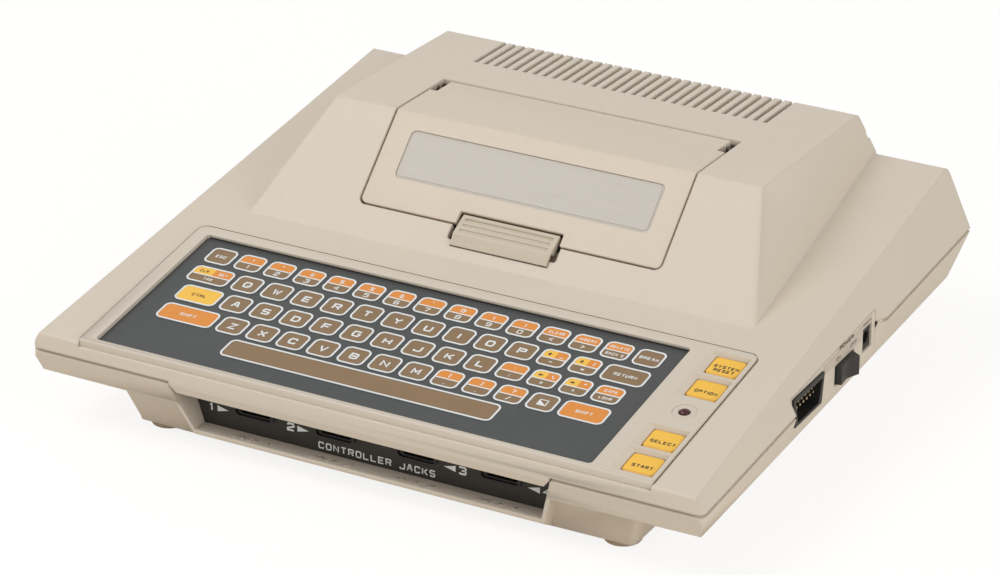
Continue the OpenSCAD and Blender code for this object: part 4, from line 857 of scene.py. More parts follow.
# ---------------------------------------------------------------- making pieces
GRID = 8
GLYPHS = {
    "A": "00 38 58 80/13 73", "B": "00 08 68 87 85 74 04/74 83 81 60 00",
    "C": "86 78 18 06 02 10 70 82", "D": "00 08 68 86 82 60 00", "E": "88 08 00 80/04 74",
    "F": "88 08 00/04 74", "G": "87 78 18 06 02 10 70 82 84 54", "H": "00 08/80 88/04 84",
    "I": "40 48", "J": "88 82 70 10 02", "K": "00 08/88 34 80/04 34", "L": "08 00 80",
    "M": "00 08 43 88 80", "N": "00 08 80 88", "O": "10 70 82 86 78 18 06 02 10",
    "P": "00 08 78 87 85 74 04", "Q": "10 70 82 86 78 18 06 02 10/53 80",
    "R": "00 08 78 87 85 74 04/44 80", "S": "87 78 18 06 05 14 74 83 82 70 10 01",
    "T": "08 88/48 40", "U": "08 02 10 70 82 88", "V": "08 40 88", "W": "08 20 46 60 88",
    "X": "08 80/00 88", "Y": "08 44 88/44 40", "Z": "08 88 00 80",
    "0": "10 70 82 86 78 18 06 02 10", "1": "26 48 40", "2": "06 18 78 86 85 02 00 80",
    "3": "07 18 78 87 85 74 34/74 83 81 70 10 01", "4": "60 68 03 83",
    "5": "88 08 05 75 83 82 70 10 01", "6": "87 78 18 06 02 10 70 82 83 74 04",
    "7": "07 08 88 30", "8": "14 05 07 18 78 87 85 74 14 03 01 10 70 81 83 74",
    "9": "01 10 70 82 86 78 18 06 05 14 84", "-": "14 74", "_": "00 80", "=": "15 75/13 73",
    "+": "14 74/47 41", "*": "24 64/36 52/32 56", "/": "10 78", "\\": "18 70", "|": "48 40",
    ".": "40 41", ",": "41 30", ":": "46 45/42 41", ";": "46 45/42 31", "'": "48 46",
    '"': "38 36/58 56", "!": "48 43/41 40", "?": "17 28 68 77 75 54 42/41 40",
    "#": "30 38/60 68/15 85/12 82", "$": "77 68 28 16 15 64 73 72 60 20 11/48 40",
    "%": "00 88/18 38 36 16 18/50 70 72 52 50", "&": "80 16 17 28 48 57 56 13 12 20 50 84",
    "@": "70 20 02 06 28 68 86 83 53 55 85", "(": "58 36 32 50", ")": "38 56 52 30",
    "[": "58 38 30 50", "]": "38 58 50 30", "<": "77 14 71", ">": "17 74 11", "^": "25 48 65",
}


@dataclass(frozen=True)
class Lettering:
    """A style of wide, squared letters drawn with an even stroke, in millimetres."""

    height: float
    width: float
    pen: float
    gap: float = 0.6
    relief: float = 0.05

    def strokes(self, words: str) -> list[list[Point]]:
        """Lay a line of letters out round the origin.

        Args:
            words: The letters.

        Returns:
            The middle lines of the strokes.
        """
        across, upwards = (self.width - self.pen) / GRID, (self.height - self.pen) / GRID
        base = (self.pen - self.height) / 2
        lines: list[list[Point]] = []
        x = 0.0
        for sign in words:
            if sign == " ":
                x += self.width / 2 + self.gap
                continue
            glyph = [[(int(u), int(v)) for u, v in stroke.split()]
                     for stroke in GLYPHS[sign].split("/")]
            columns = [u for stroke in glyph for u, _ in stroke]
            start = x + self.pen / 2 - min(columns) * across
            lines += [[(start + u * across, base + v * upwards) for u, v in stroke]
                      for stroke in glyph]
            x += (max(columns) - min(columns)) * across + self.pen + self.gap
        half = (x - self.gap) / 2
        return [[(u - half, v) for u, v in line] for line in lines]


def link(name: str, data: bpy.types.ID | None) -> Piece:
    """Make an object of some data and put it into the scene.

    Args:
        name: Name of the object.
        data: What it shows, or None for an empty.

    Returns:
        The object.
    """
    thing = bpy.data.objects.new(name, data)
    bpy.context.scene.collection.objects.link(thing)
    return thing


def stand(name: str, mesh: Mesh, material: Material, body: str,
          node: str = "") -> Piece:
    """Make a piece that rides on a body.

    Args:
        name: Name of the piece.
        mesh: Its mesh.
        material: Its material.
        body: The CAD body that it rides on.
        node: The CAD node that it is shown in place of, if any.

    Returns:
        The new piece.
    """
    mesh.materials.clear()
    mesh.materials.append(material)
    piece = link(name, mesh)
    if node:
        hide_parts(node)
    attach(piece, body)
    LOG.info("%s: %d faces, on %s", name, len(mesh.polygons), body)
    return piece


def loft(bm: bmesh.types.BMesh, loops: list[list[bmesh.types.BMVert]], closed: bool = False
         ) -> None:
    """Skin a row of vertex loops.

    Args:
        bm: The mesh that the vertices belong to.
        loops: The loops, each with as many vertices.
        closed: True to join the last loop to the first, False to cap both ends.
    """
    pairs = list(zip(loops, loops[1:])) + ([(loops[-1], loops[0])] if closed else [])
    for below, above in pairs:
        for i in range(len(below)):
            j = (i + 1) % len(below)
            bm.faces.new((below[i], below[j], above[j], above[i]))
    if not closed:
        bm.faces.new(loops[-1])
        bm.faces.new(loops[0][::-1])


class Sheet:
    """A mesh in the making: flat shapes and letters laid on a face, each with a thickness."""

    def __init__(self, face: Face) -> None:
        """Start an empty mesh on a face."""
        self.face = face
        self.bm = bmesh.new()

    def lay(self, outline: list[Point], low: float, high: float, chamfer: float = 0.0) -> None:
        """Add a solid with a given outline.

        Args:
            outline: Points of the outline, anticlockwise, in millimetres.
            low: Height of its underside above the face.
            high: Height of its top above the face.
            chamfer: Width and height by which its top edge is broken.
        """
        centre = Vector((sum(p[0] for p in outline), sum(p[1] for p in outline), 0.0))
        centre /= len(outline)
        rings = [(low, 0.0), (high - chamfer, 0.0)] + ([(high, chamfer)] if chamfer else [])
        loops = []
        for level, inwards in rings:
            loop = []
            for x, y in outline:
                away = Vector((x, y, 0.0)) - centre
                away -= away.normalized() * inwards
                loop.append(self.corner(away.x + centre.x, away.y + centre.y, level))
            loops.append(loop)
        loft(self.bm, loops)

    def corner(self, x: float, y: float, level: float) -> bmesh.types.BMVert:
        """Add a vertex at a place on the face and a height above it."""
        return self.bm.verts.new(self.face.matrix @ (Vector((x, y, level)) * MM))

    def band(self, line: list[Point], pen: float, low: float, high: float,
             mitre: float = 0.6) -> None:
        """Add an even stroke along a line; a line that ends where it began is closed.

        Args:
            line: Corners of the stroke's middle line.
            pen: Width of the stroke.
            low: Height of its underside above the face.
            high: Height of its top above the face.
            mitre: How far a sharp corner may run out: the smaller, the farther.
        """
        closed = line[0] == line[-1]
        places = [Vector(p) for p in (line[:-1] if closed else line)]
        count = len(places)
        ways = [(places[(i + 1) % count] - place).normalized() for i, place in enumerate(places)]
        loops = []
        for i, place in enumerate(places):
            before = ways[i - 1] if closed or i > 0 else ways[i]
            after = ways[i] if closed or i + 1 < count else before
            side = Vector((-before.y - after.y, before.x + after.x)).normalized()
            reach = side * pen / 2 / max(side.dot(Vector((-before.y, before.x))), mitre)
            left, right = place + reach, place - reach
            loops.append([self.corner(p.x, p.y, level) for p, level in (
                (right, low), (left, low), (left, high), (right, high))])
        loft(self.bm, loops, closed)

    def letter(self, words: str, at: Point, style: Lettering, low: float) -> None:
        """Add a line of letters with its middle at a point.

        Args:
            words: The letters.
            at: Middle of the line on the face.
            style: How the letters look.
            low: Height of the letters' underside above the face.
        """
        for line in style.strokes(words):
            self.band([(x + at[0], y + at[1]) for x, y in line], style.pen, low,
                      low + style.relief)

    def finish(self, name: str, material: Material, body: str, slot: str) -> Piece:
        """Close the mesh and make the piece.

        Args:
            name: Name of the piece.
            material: Its material.
            body: The CAD body that it rides on.
            slot: Not used.

        Returns:
            The new piece.
        """
        mesh = bpy.data.meshes.new(name)
        bmesh.ops.recalc_face_normals(self.bm, faces=self.bm.faces)
        self.bm.to_mesh(mesh)
        self.bm.free()
        return stand(name, mesh, material, body)


@dataclass(frozen=True)
class Zone:
    """A box, the same on both sides of the machine, whose edges have a radius of their own."""

    low: Place
    high: Place
    radius: float

    def holds(self, point: Vector) -> bool:
        """Say whether a point in millimetres lies in the box."""
        place = (abs(point.x), point.y, point.z)
        return all(a <= v <= b for a, v, b in zip(self.low, place, self.high))


@dataclass(frozen=True)
class Rounding:
    """How the outer edges of a moulding are rounded in the copy that is shown.

    Lengths are millimetres. The first zone that holds an edge's middle gives its radius, and an
    edge that looks into the moulding's own hollow stays as it is.
    """

    node: str
    radius: float
    shortest: float = 12.0
    bend: float = 24.0
    zones: tuple[Zone, ...] = ()
    steps: int = 3
    crease: float = 18.0
    clear_way: float = 45.0
    stand_off: float = 0.2
    weld: float = 0.001
    flat: float = 0.4

    def radius_of(self, edge: bmesh.types.BMEdge, skin: BVHTree) -> float:
        """Radius of an edge.

        Args:
            edge: The edge.
            skin: The moulding's surface, to see what stands in front of the edge.

        Returns:
            The radius in millimetres, or 0 where the edge stays sharp.
        """
        if len(edge.link_faces) != 2 or edge.calc_length() < self.shortest * MM:
            return 0.0
        if not edge.is_convex or edge.calc_face_angle(0.0) < math.radians(self.bend):
            return 0.0
        middle = (edge.verts[0].co + edge.verts[1].co) / 2
        out = (edge.link_faces[0].normal + edge.link_faces[1].normal).normalized()
        start = middle + out * self.stand_off * MM
        if skin.ray_cast(start, out, self.clear_way * MM)[0] is not None:
            return 0.0
        return next((z.radius for z in self.zones if z.holds(middle / MM)), self.radius)

    def dress(self, material: Material, body: str, slot: str) -> Piece:
        """Make the rounded copy that is shown in place of the CAD node.

        Args:
            material: The moulding's material.
            body: The body that it rides on.
            slot: Not used.

        Returns:
            The piece that stands for the node.
        """
        bm = bmesh.new()
        bm.from_mesh(frame["nodes"][self.node].data)
        bmesh.ops.remove_doubles(bm, verts=bm.verts, dist=self.weld * MM)
        bmesh.ops.dissolve_limit(bm, angle_limit=math.radians(self.flat), verts=bm.verts,
                                 edges=bm.edges)
        bm.normal_update()
        skin = BVHTree.FromBMesh(bm)
        radii = [self.radius_of(edge, skin) for edge in bm.edges]
        widest = max(radii)
        weight = bm.edges.layers.float.new("bevel_weight_edge")
        for edge, radius in zip(bm.edges, radii):
            edge[weight] = radius / widest
            edge.smooth = radius > 0 or edge.calc_face_angle(0.0) < math.radians(self.crease)
        for face in bm.faces:
            face.smooth = True
        mesh = bpy.data.meshes.new(self.node + "_rounded")
        bm.to_mesh(mesh)
        bm.free()
        piece = stand(mesh.name, mesh, material, body, self.node)
        bevel = piece.modifiers.new("Rounded edges", "BEVEL")
        bevel.limit_method = "WEIGHT"
        bevel.width = widest * MM
        bevel.segments = self.steps
        bevel.use_clamp_overlap = False
        bevel.harden_normals = True
        return piece


@dataclass(frozen=True)
class Give:
    """A spring or a dome under a piece that moves towards its foot, shown as a plain copy of its
    CAD node.
    """

    node: str
    joint: str
    play: float = 0.1

    def dress(self, material: Material, body: str, slot: str) -> Piece:
        """Make the copy that is shown in place of the node.

        Args:
            material: The piece's material.
            body: The body that it rides on.
            slot: Not used.

        Returns:
            The piece that stands for the node.
        """
        joint = next(j for j in frame["record"]["behaviour"]["joints"] if j["name"] == self.joint)
        axis = Vector(joint["axis"]).normalized()
        mesh = frame["nodes"][self.node].data.copy()
        piece = stand(self.node + "_sprung", mesh, material, body, self.node)
        reach = [axis.dot(vertex.co) for vertex in mesh.vertices]
        foot, top = max(reach), min(reach)
        1 - (joint["range_m"][1] + self.play * MM) / (foot - top)
        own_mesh(piece)
        return piece


# ---------------------------------------------------------------- keyboard
class Print(Enum):
    """How the face of a membrane key is printed."""

    PLAIN = "one brown field"
    SPLIT = "an orange field behind a brown one"
    PAIR = "as SPLIT, with the left half of the rear field yellow"
    ORANGE = "one orange field"
    YELLOW = "one yellow field"
    INVERSE = "one brown field with a half-filled square"


class Arrow(Enum):
    """Cursor arrows, by the turn of their tip from the right, in degrees."""

    UP = 90
    DOWN = 270
    LEFT = 180
    RIGHT = 0


@dataclass(frozen=True)
class Legend:
    """What is printed on one membrane key."""

    main: str
    upper: str = ""
    how: Print = Print.PLAIN
    left: str | Arrow = ""


def split(main: str, upper: str) -> Legend:
    """A key with a second meaning in its orange rear field."""
    return Legend(main, upper, Print.SPLIT)


def cursor(main: str, upper: str, arrow: Arrow) -> Legend:
    """A key whose rear field also shows a cursor arrow on yellow."""
    return Legend(main, upper, Print.PAIR, arrow)


def letters(text: str) -> list[Legend]:
    """Plain keys, one for each letter of a text."""
    return [Legend(letter) for letter in text]


def legend_rows() -> list[list[Legend]]:
    """The legends of the key rows, from the rear to the front.

    Returns:
        The legends of each row, from left to right.
    """
    digits = [split(n, s) for n, s in zip("1234567890", "!\"#$%&'@()")]
    return [
        [Legend("ESC"), *digits, split("<", "CLEAR"), split(">", "INSERT"),
         split("BACK S", "DELETE"), Legend("BREAK")],
        [Legend("TAB", "SET", Print.PAIR, "CLR"), *letters("QWERTYUIOP"),
         cursor("-", "_", Arrow.UP), cursor("=", "|", Arrow.DOWN), Legend("RETURN")],
        [Legend("CTRL", how=Print.YELLOW), *letters("ASDFGHJKL"), split(";", ":"),
         cursor("+", "\\", Arrow.LEFT), cursor("*", "^", Arrow.RIGHT), split("LOWR", "CAPS")],
        [Legend("SHIFT", how=Print.ORANGE), *letters("ZXCVBNM"), split(",", "["),
         split(".", "]"), split("/", "?"), Legend("", how=Print.INVERSE),
         Legend("SHIFT", how=Print.ORANGE)],
        [Legend("")]]


@dataclass
class MembraneKeyboard:
    """The printed membrane: coloured key faces, dividers and legends, laid inside the outlines."""

    ring: float = 0.9
    corner: float = 3.2
    play: float = 0.03
    film: float = 0.12
    divider: float = 0.75
    print_t: float = 0.05
    bite: float = 0.01
    raised_from: float = 0.2
    pair_shift: float = 0.3
    arrow_size: float = 1.15
    arrow_shaft: float = 0.35
    square: float = 4.6
    square_line: float = 0.55
    big: Lettering = Lettering(4.7, 4.3, 0.95)
    digit: Lettering = Lettering(3.2, 2.8, 0.56)
    sign: Lettering = Lettering(2.9, 2.6, 0.48)
    word: Lettering = Lettering(2.2, 1.62, 0.42, 0.39)
    small_word: Lettering = Lettering(2.0, 1.32, 0.36, 0.34)

    def key_patches(self, face: Face) -> list[list[Patch]]:
        """Find the key outlines that stand up from the membrane.

        Args:
            face: The membrane's upper face.

        Returns:
            The outlines' outer patches in rows from the rear, each row from the left.
        """
        mesh = frame["nodes"]["membrane_overlay"].data
        inverse = face.matrix.inverted()
        points = [inverse @ v.co / MM for v in mesh.vertices]
        boxes: list[tuple[float, ...]] = []
        for polygon in mesh.polygons:
            corners = [points[i] for i in polygon.vertices]
            if min(p.z for p in corners) < self.raised_from:
                continue
            box = (min(p.x for p in corners), min(p.y for p in corners),
                   -max(p.x for p in corners), -max(p.y for p in corners))
            touching = [b for b in boxes if all(b[i] <= -box[i + 2] and box[i] <= -b[i + 2]
                                                for i in (0, 1))]
            boxes = [b for b in boxes if b not in touching]
            boxes.append(tuple(min(sides) for sides in zip(box, *touching)))
        patches = [Patch((x0 - x1) / 2, (y0 - y1) / 2, -x1 - x0, -y1 - y0, self.corner)
                   for x0, y0, x1, y1 in boxes]
        rows: dict[int, list[Patch]] = {}
        for patch in sorted(patches, key=lambda p: p.x):
            rows.setdefault(round(patch.y), []).append(patch)
        return [rows[level] for level in sorted(rows, reverse=True)]

    def build(self, paints: Paintbox) -> list[Piece]:
        """Print the whole keyboard.

        Args:
            paints: The finishes.

        Returns:
            The printed pieces.
        """
        face = Face.of_node("membrane_overlay", UPWARDS)
        sheets = {name: Sheet(face) for name in ("brown", "orange", "yellow", "divider", "dark")}
        rows = self.key_patches(face)
        pieces = []
        for number, (patches, legends) in enumerate(zip(rows, legend_rows()), start=1):
            white = Sheet(face)
            for patch, legend in zip(patches, legends):
                self.print_fields(patch.shrunk(self.ring + self.play), legend, sheets)
                self.print_words(patch, legend, white, sheets["dark"])
            if white.bm.verts:
                pieces.append(white.finish(f"key_legends_row_{number}", paints["ink_white"],
                                           "case", "membrane"))
        for name, sheet in sheets.items():
            ink = "ink_white" if name == "divider" else "ink_" + name
            pieces.append(sheet.finish(f"key_print_{name}", paints[ink], "case", "membrane"))
        return pieces

    def print_fields(self, patch: Patch, legend: Legend, sheets: dict[str, Sheet]) -> None:
        """Lay the coloured fields of one key.

        Args:
            patch: The inside of the key's outline.
            legend: What is printed on the key.
            sheets: The meshes by colour.
        """
        outline = patch.outline()
        one_field = {Print.PLAIN: "brown", Print.INVERSE: "brown", Print.ORANGE: "orange",
                     Print.YELLOW: "yellow"}
        if legend.how in one_field:
            sheets[one_field[legend.how]].lay(outline, SUNK, self.film)
            return
        half = self.divider / 2
        front = clip(outline, 1, patch.y - half, True)
        rear = clip(outline, 1, patch.y + half, False)
        middle = clip(clip(outline, 1, patch.y - half, False), 1, patch.y + half, True)
        sheets["brown"].lay(front, SUNK, self.film)
        sheets["divider"].lay(middle, SUNK, self.film + self.print_t)
        if legend.how is Print.PAIR:
            sheets["yellow"].lay(clip(rear, 0, patch.x, True), SUNK, self.film)
            rear = clip(rear, 0, patch.x, False)
        sheets["orange"].lay(rear, SUNK, self.film)

    def print_words(self, patch: Patch, legend: Legend, white: Sheet, dark: Sheet) -> None:
        """Print the letters and signs of one key.

        Args:
            patch: The key's outline.
            legend: What is printed.
            white: The row's white letters.
            dark: The dark letters on yellow.
        """
        level = self.film - self.bite
        quarter = (patch.height - 2 * self.ring) / 4
        if legend.how is Print.INVERSE:
            self.half_filled_square(patch, white)
        elif legend.how is Print.YELLOW:
            dark.letter(legend.main, (patch.x, patch.y), self.word, level)
        elif legend.how in (Print.PLAIN, Print.ORANGE):
            if legend.main:
                style = self.big if len(legend.main) == 1 else self.word
                white.letter(legend.main, (patch.x, patch.y), style, level)
        else:
            style = self.digit if len(legend.main) == 1 else self.small_word
            white.letter(legend.main, (patch.x, patch.y - quarter), style, level)
            shift = patch.width / 4 - self.pair_shift if legend.how is Print.PAIR else 0.0
            upper = self.sign if len(legend.upper) == 1 else self.small_word
            white.letter(legend.upper, (patch.x + shift, patch.y + quarter), upper, level)
            if isinstance(legend.left, Arrow):
                self.arrow(dark, (patch.x - shift, patch.y + quarter), legend.left)
            elif legend.left:
                dark.letter(legend.left, (patch.x - shift, patch.y + quarter),
                            self.small_word, level)

    def lay_sign(self, sheet: Sheet, outline: list[Point]) -> None:
        """Lay a drawn sign on a key's field."""
        sheet.lay(outline, self.film - self.bite, self.film + self.print_t)

    def arrow(self, sheet: Sheet, at: Point, way: Arrow) -> None:
        """Lay a small arrow with its middle at a point.

        Args:
            sheet: The sheet of signs.
            at: The middle.
            way: Where it points.
        """
        turn, size = math.radians(way.value), self.arrow_size
        half = size * self.arrow_shaft
        tip = [(size, 0.0), (0.0, size), (0.0, half), (-size, half), (-size, -half),
               (0.0, -half), (0.0, -size)]
        self.lay_sign(sheet, [(at[0] + x * math.cos(turn) - y * math.sin(turn),
                              at[1] + x * math.sin(turn) + y * math.cos(turn))
                             for x, y in tip])

    def half_filled_square(self, patch: Patch, sheet: Sheet) -> None:
        """Lay the sign of the key that swaps light and dark: a square, half of it filled.

        Args:
            patch: The key's field.
            sheet: The sheet of signs.
        """
        half, line = self.square / 2, self.square_line
        x0, x1, y0, y1 = patch.x - half, patch.x + half, patch.y - half, patch.y + half
        inner, upper = x1 - line, y1 - line
        for outline in ([(x0, y0), (inner, y0), (inner, y0 + line), (x0, upper)],
                        [(x0, upper), (inner, upper), (inner, y1), (x0, y1)],
                        [(inner, y0), (x1, y0), (x1, y1), (inner, y1)]):
            self.lay_sign(sheet, outline)


@dataclass
class ConsoleKeys:
    """The words on the four amber keys beside the keyboard."""

    style: Lettering = Lettering(2.3, 1.7, 0.5, 0.42, 0.06)
    line_step: float = 3.1
    shift: Point = (0.3, -2.0)
    words: dict[str, tuple[str, ...]] = field(default_factory=lambda: {
        "system_reset_key": ("SYSTEM", "RESET"), "option_key": ("OPTION",),
        "select_key": ("SELECT",), "start_key": ("START",)})

    def build(self, paints: Paintbox) -> list[Piece]:
        """Print each key's name; it rides on the key.

        Args:
            paints: The finishes.

        Returns:
            The four pieces of lettering.
        """
        pieces = []
        for node, lines in self.words.items():
            face = Face.of_node(node, UPWARDS)
            sheet = Sheet(face)
            x, y = face.middle
            for i, line in enumerate(lines):
                offset = ((len(lines) - 1) / 2 - i) * self.line_step
                sheet.letter(line, (x + self.shift[0], y + self.shift[1] + offset), self.style,
                             SUNK)
            body = node.replace("_key", "_button")
            pieces.append(sheet.finish(node + "_name", paints["ink_dark"], body, "key_amber"))
        return pieces


# ---------------------------------------------------------------- panels
@dataclass
class ControllerPanel:
    """Print and socket rims on the panel behind the controller sockets, and the tray's relief."""

    title: Lettering = Lettering(3.5, 3.05, 0.66, 0.82)
    number: Lettering = Lettering(4.2, 4.1, 0.9)
    moulded: Lettering = Lettering(2.9, 3.1, 0.55, 0.9, 0.4)
    sockets: int = 4
    title_words: tuple[tuple[str, float], ...] = (("CONTROLLER", -9.9), ("JACKS", 22.3))
    title_z: float = 17.0
    number_z: float = 22.3
    number_step: float = 3.5
    pointer_gaps: tuple[float, float] = (1.5, -0.2)
    pointer_half_h: float = 1.5
    pointer_len: float = 6.0
    pointer_rise: float = 0.04
    rim: Patch = Patch(-0.5, 28.2, 20.0, 12.4, 2.4)
    rim_pen: float = 0.9
    rim_proud: float = 1.4
    over_tray: Place = (0.0, -134.2, 30.0)

    def build(self, paints: Paintbox) -> list[Piece]:
        """Print the panel, rim the sockets and raise the tray's letters.

        Args:
            paints: The finishes.

        Returns:
            The print, the rims and the raised letters.
        """
        face = Face.of_node("jack_panel", (0, -1, 0))
        ink, rims = Sheet(face), Sheet(face)
        relief = Sheet(Face.under("lower_case", self.over_tray))
        for words, x in self.title_words:
            ink.letter(words, face.at(x, 0.0, self.title_z), self.title, SUNK)
        for i in range(1, self.sockets + 1):
            low, high = (corner.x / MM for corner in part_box(f"controller_jack_{i}"))
            middle = (low + high) / 2
            if 2 * i <= self.sockets:
                self.pointer(ink, face, i, low - self.pointer_gaps[0], -1)
            else:
                self.pointer(ink, face, i, high + self.pointer_gaps[1], 1)
            x, y = face.at(middle + self.rim.x, 0.0, self.rim.y)
            outline = replace(self.rim, x=x, y=y).outline()
            rims.band(outline + outline[:1], self.rim_pen, SUNK, self.rim_proud)
            relief.letter(f"JACK {i}", (middle, 0.0), self.moulded, SUNK)
        return [ink.finish("controller_panel_print", paints["ink_white"], "case", "panel_black"),
                rims.finish("controller_jack_rims", paints["socket_black"], "case",
                            "socket_black"),
                relief.finish("tray_relief", paints["case_plastic"], "case", "case_plastic")]

    def pointer(self, sheet: Sheet, face: Face, number: int, tip: float, side: int) -> None:
        """Lay a triangle that points at a socket, and the socket's number behind it.

        Args:
            sheet: The print.
            face: The panel's face.
            number: The socket's number.
            tip: Where the triangle ends, along x.
            side: The side of the socket on which it lies, -1 or 1.
        """
        x, y = face.at(tip, 0.0, self.number_z)
        base = x + side * self.pointer_len
        outline = [(x, y), (base, y + self.pointer_half_h), (base, y - self.pointer_half_h)]
        sheet.lay(outline if side < 0 else outline[::-1], SUNK, self.pointer_rise)
        sheet.letter(str(number), (base + side * self.number_step, y), self.number, SUNK)


@dataclass
class SidePanel:
    """Dark print on the foil label over the power switch."""

    heading: Lettering = Lettering(1.9, 2.5, 0.36, 0.65)
    note: Lettering = Lettering(1.7, 2.1, 0.32, 0.5)
    small: Lettering = Lettering(1.3, 1.0, 0.18, 0.3)
    bite: float = 0.01
    words: tuple[tuple[str, Lettering, float, float], ...] = (
        ("POWER", heading, 9.5, 55.0), ("ON", note, 0.4, 50.9), ("OFF", note, 17.2, 51.2),
        ("POWER IN", small, 32.3, 55.2))

    def build(self, paints: Paintbox) -> list[Piece]:
        """Print the label.

        Args:
            paints: The finishes.

        Returns:
            The label's print.
        """
        face = Face.of_node("side_label", (1, 0, 0))
        sheet = Sheet(face)
        for words, style, y, z in self.words:
            sheet.letter(words, face.at(0.0, y, z), style, -self.bite)
        return [sheet.finish("side_label_print", paints["ink_dark"], "case", "label_foil")]


@dataclass
class Seams:
    """Painted shade: thin dark strips in the gaps round the keyboard's bezel and its window."""

    pen: float = 0.28
    away: float = 0.16
    foot: float = -1.15
    far_top: float = -0.04
    near_top: float = -0.98
    front_end: float = 0.5
    corner: float = 4.0
    window_lap: float = 1.5
    window_pen: float = 0.3
    window_rise: float = 0.7
    window_corner: float = 1.0

    def build(self, paints: Paintbox) -> list[Piece]:
        """Stand thin dark strips of painted shade in the gaps.

        Args:
            paints: The finishes.

        Returns:
            The strips round the bezel and the ones inside its window.
        """
        face = Face.of_node("keyboard_bezel", UPWARDS)
        rear = sorted(self.rear_half(face, -2 * self.away, self.corner))
        rear = [(rear[0][0], self.front_end), *rear, (rear[-1][0], self.front_end)]
        turn = next(i for i, point in enumerate(rear) if point[0] > rear[-1][0] - self.corner / 2)
        round_bezel = Sheet(face)
        # Painted shade: dark strips stand in the gap round the bezel's rear and sides.
        round_bezel.band(rear[:turn + 1], self.pen, self.foot, self.far_top)
        round_bezel.band(rear[turn:], self.pen, self.foot, self.near_top)
        # Painted shadow: a dark strip in the panel_black finish stands along the rear edge of the
        # window, on the membrane.
        foil = Face.of_node("membrane_overlay", UPWARDS)
        in_window = Sheet(foil)
        in_window.band(self.rear_half(foil, 2 * self.window_lap + self.window_pen,
                                      self.window_corner), self.window_pen, SUNK, self.window_rise)
        return [round_bezel.finish("bezel_gap_shade", paints["seam_shadow"], "case", "case_plastic"),
                in_window.finish("window_gap_shade", paints["panel_black"], "case", "membrane")]

    @staticmethod
    def rear_half(face: Face, margin: float, corner: float) -> list[Point]:
        """The rear half of a rounded outline that follows a face's own.

        Args:
            face: The face.
            margin: How much narrower and shorter the outline is.
            corner: Its corner radius.

        Returns:
            The outline's points, from the right to the left.
        """
        outline = Patch(*face.middle, face.high[0] - face.low[0] - margin,
                        face.high[1] - margin, corner).outline()
        return outline[:len(outline) // 2]


@dataclass
class CartridgeContacts:
    """The two rows of sprung fingers inside the cartridge connector."""

    per_row: int = 15
    pitch: float = 3.96
    width: float = 1.5
    reach: float = 10.0
    thickness: float = 0.25
    under_top: float = 0.5
    half_slot: float = 1.2
    line: tuple[Point, ...] = ((0.0, 0.0), (0.35, 0.5), (0.7, 0.3), (1.0, 0.05))

    def build(self, paints: Paintbox) -> list[Piece]:
        """Bend the fingers and stand them in the connector's slot.

        Args:
            paints: The finishes.

        Returns:
            The fingers as one piece.
        """
        low, high = (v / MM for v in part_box("cartridge_connector"))
        sheet = Sheet(Face(Matrix.Identity(4)))
        for i in range(self.per_row):
            x = (i - (self.per_row - 1) / 2) * self.pitch
            for side in (-1, 1):
                wall = (low.y + high.y) / 2 + side * self.half_slot
                self.finger(sheet, x, wall, side, high.z - self.under_top)
        return [sheet.finish("cartridge_contacts", paints["pin_gold"], "case", "pin_gold")]

    def finger(self, sheet: Sheet, x: float, wall: float, side: int, top: float) -> None:
        """Add one finger that follows the bent line down the slot's wall.

        Args:
            sheet: The sheet of fingers.
            x: Its place along the slot.
            wall: The y of the slot's wall.
            side: 1 or -1, the side the wall is on.
            top: The z of its upper end.
        """
        loops = []
        for down, out in self.line:
            near, far = wall - side * out, wall - side * (out - self.thickness)
            loops.append([sheet.corner(x + dx * self.width / 2, y, top - down * self.reach)
                          for dx, y in ((-1, near), (1, near), (1, far), (-1, far))])
        loft(sheet.bm, loops)


# ---------------------------------------------------------------- case
@dataclass
class Mouldings:
    """Every CAD node gets its finish, and the outer mouldings get rounded edges."""

    roundings: tuple[Rounding, ...] = (
        Rounding("upper_case", 0.0, shortest=7.0, zones=(
            Zone((105, 80, 104), (115, 95, 112), 3.0), Zone((118, 0, 80), (128, 15, 95), 2.2),
            Zone((158, -10, 60), (166, 10, 72), 2.4), Zone((146, -147, 46), (165, -143, 49), 1.6),
            Zone((166, -147, 40), (172, -141, 48), 0.8), Zone((0, -146, 33), (1, -143, 35), 0.6))),
        Rounding("lower_case", 0.0, shortest=7.0, zones=(
            Zone((130, -132, 10), (136, 127, 24), 4.0), Zone((0, -126, 3), (130, 120, 4), 1.2),
            Zone((120, -143, 26), (140, -141, 28), 1.5),
            Zone((0, 130, 36), (1, 133, 38), 1.5), Zone((168, -146, 27), (172, -141, 38), 1.2),
            Zone((0, -138, 10), (1, -136, 14), 0.6))),
        Rounding("keyboard_bezel", 0.3, shortest=0.2, bend=30.0, crease=5.0, zones=(
            Zone((118, -142, 44), (146, -38, 64), 0.0), Zone((0, -145, 48), (1, -143, 50), 0.25))),
        Rounding("cartridge_door", 0.5, shortest=0.2, bend=30.0, crease=5.0, zones=(
            Zone((0, 5, 80), (70, 30, 110), 0.0),)),
        Rounding("door_latch", 0.5, shortest=2.0, bend=30.0, crease=5.0),
    )
    gives: tuple[Give, ...] = (Give("latch_spring", "latch_slide"),) + tuple(
        Give(f"{key}_dome", f"{key}_button_press")
        for key in ("system_reset", "option", "select", "start"))

    def build(self, paints: Paintbox) -> list[Piece]:
        """Dress the nodes.

        Args:
            paints: The finishes.

        Returns:
            The rounded copies and the copies of the springs and domes.
        """
        slots = {part["node"]: part["material_slot"] for part in frame["record"]["subparts"]}
        bodies = {node: body for body, nodes in frame["record"]["behaviour"]["bodies"].items()
                  for node in nodes}
        for node, thing in frame["nodes"].items():
            thing.data.materials.clear()
            thing.data.materials.append(paints[slots[node]])
        LOG.info("%d CAD nodes have their finish", len(slots))
        return [copy.dress(paints[slots[copy.node]], bodies[copy.node], slots[copy.node])
                for copy in self.roundings + self.gives]


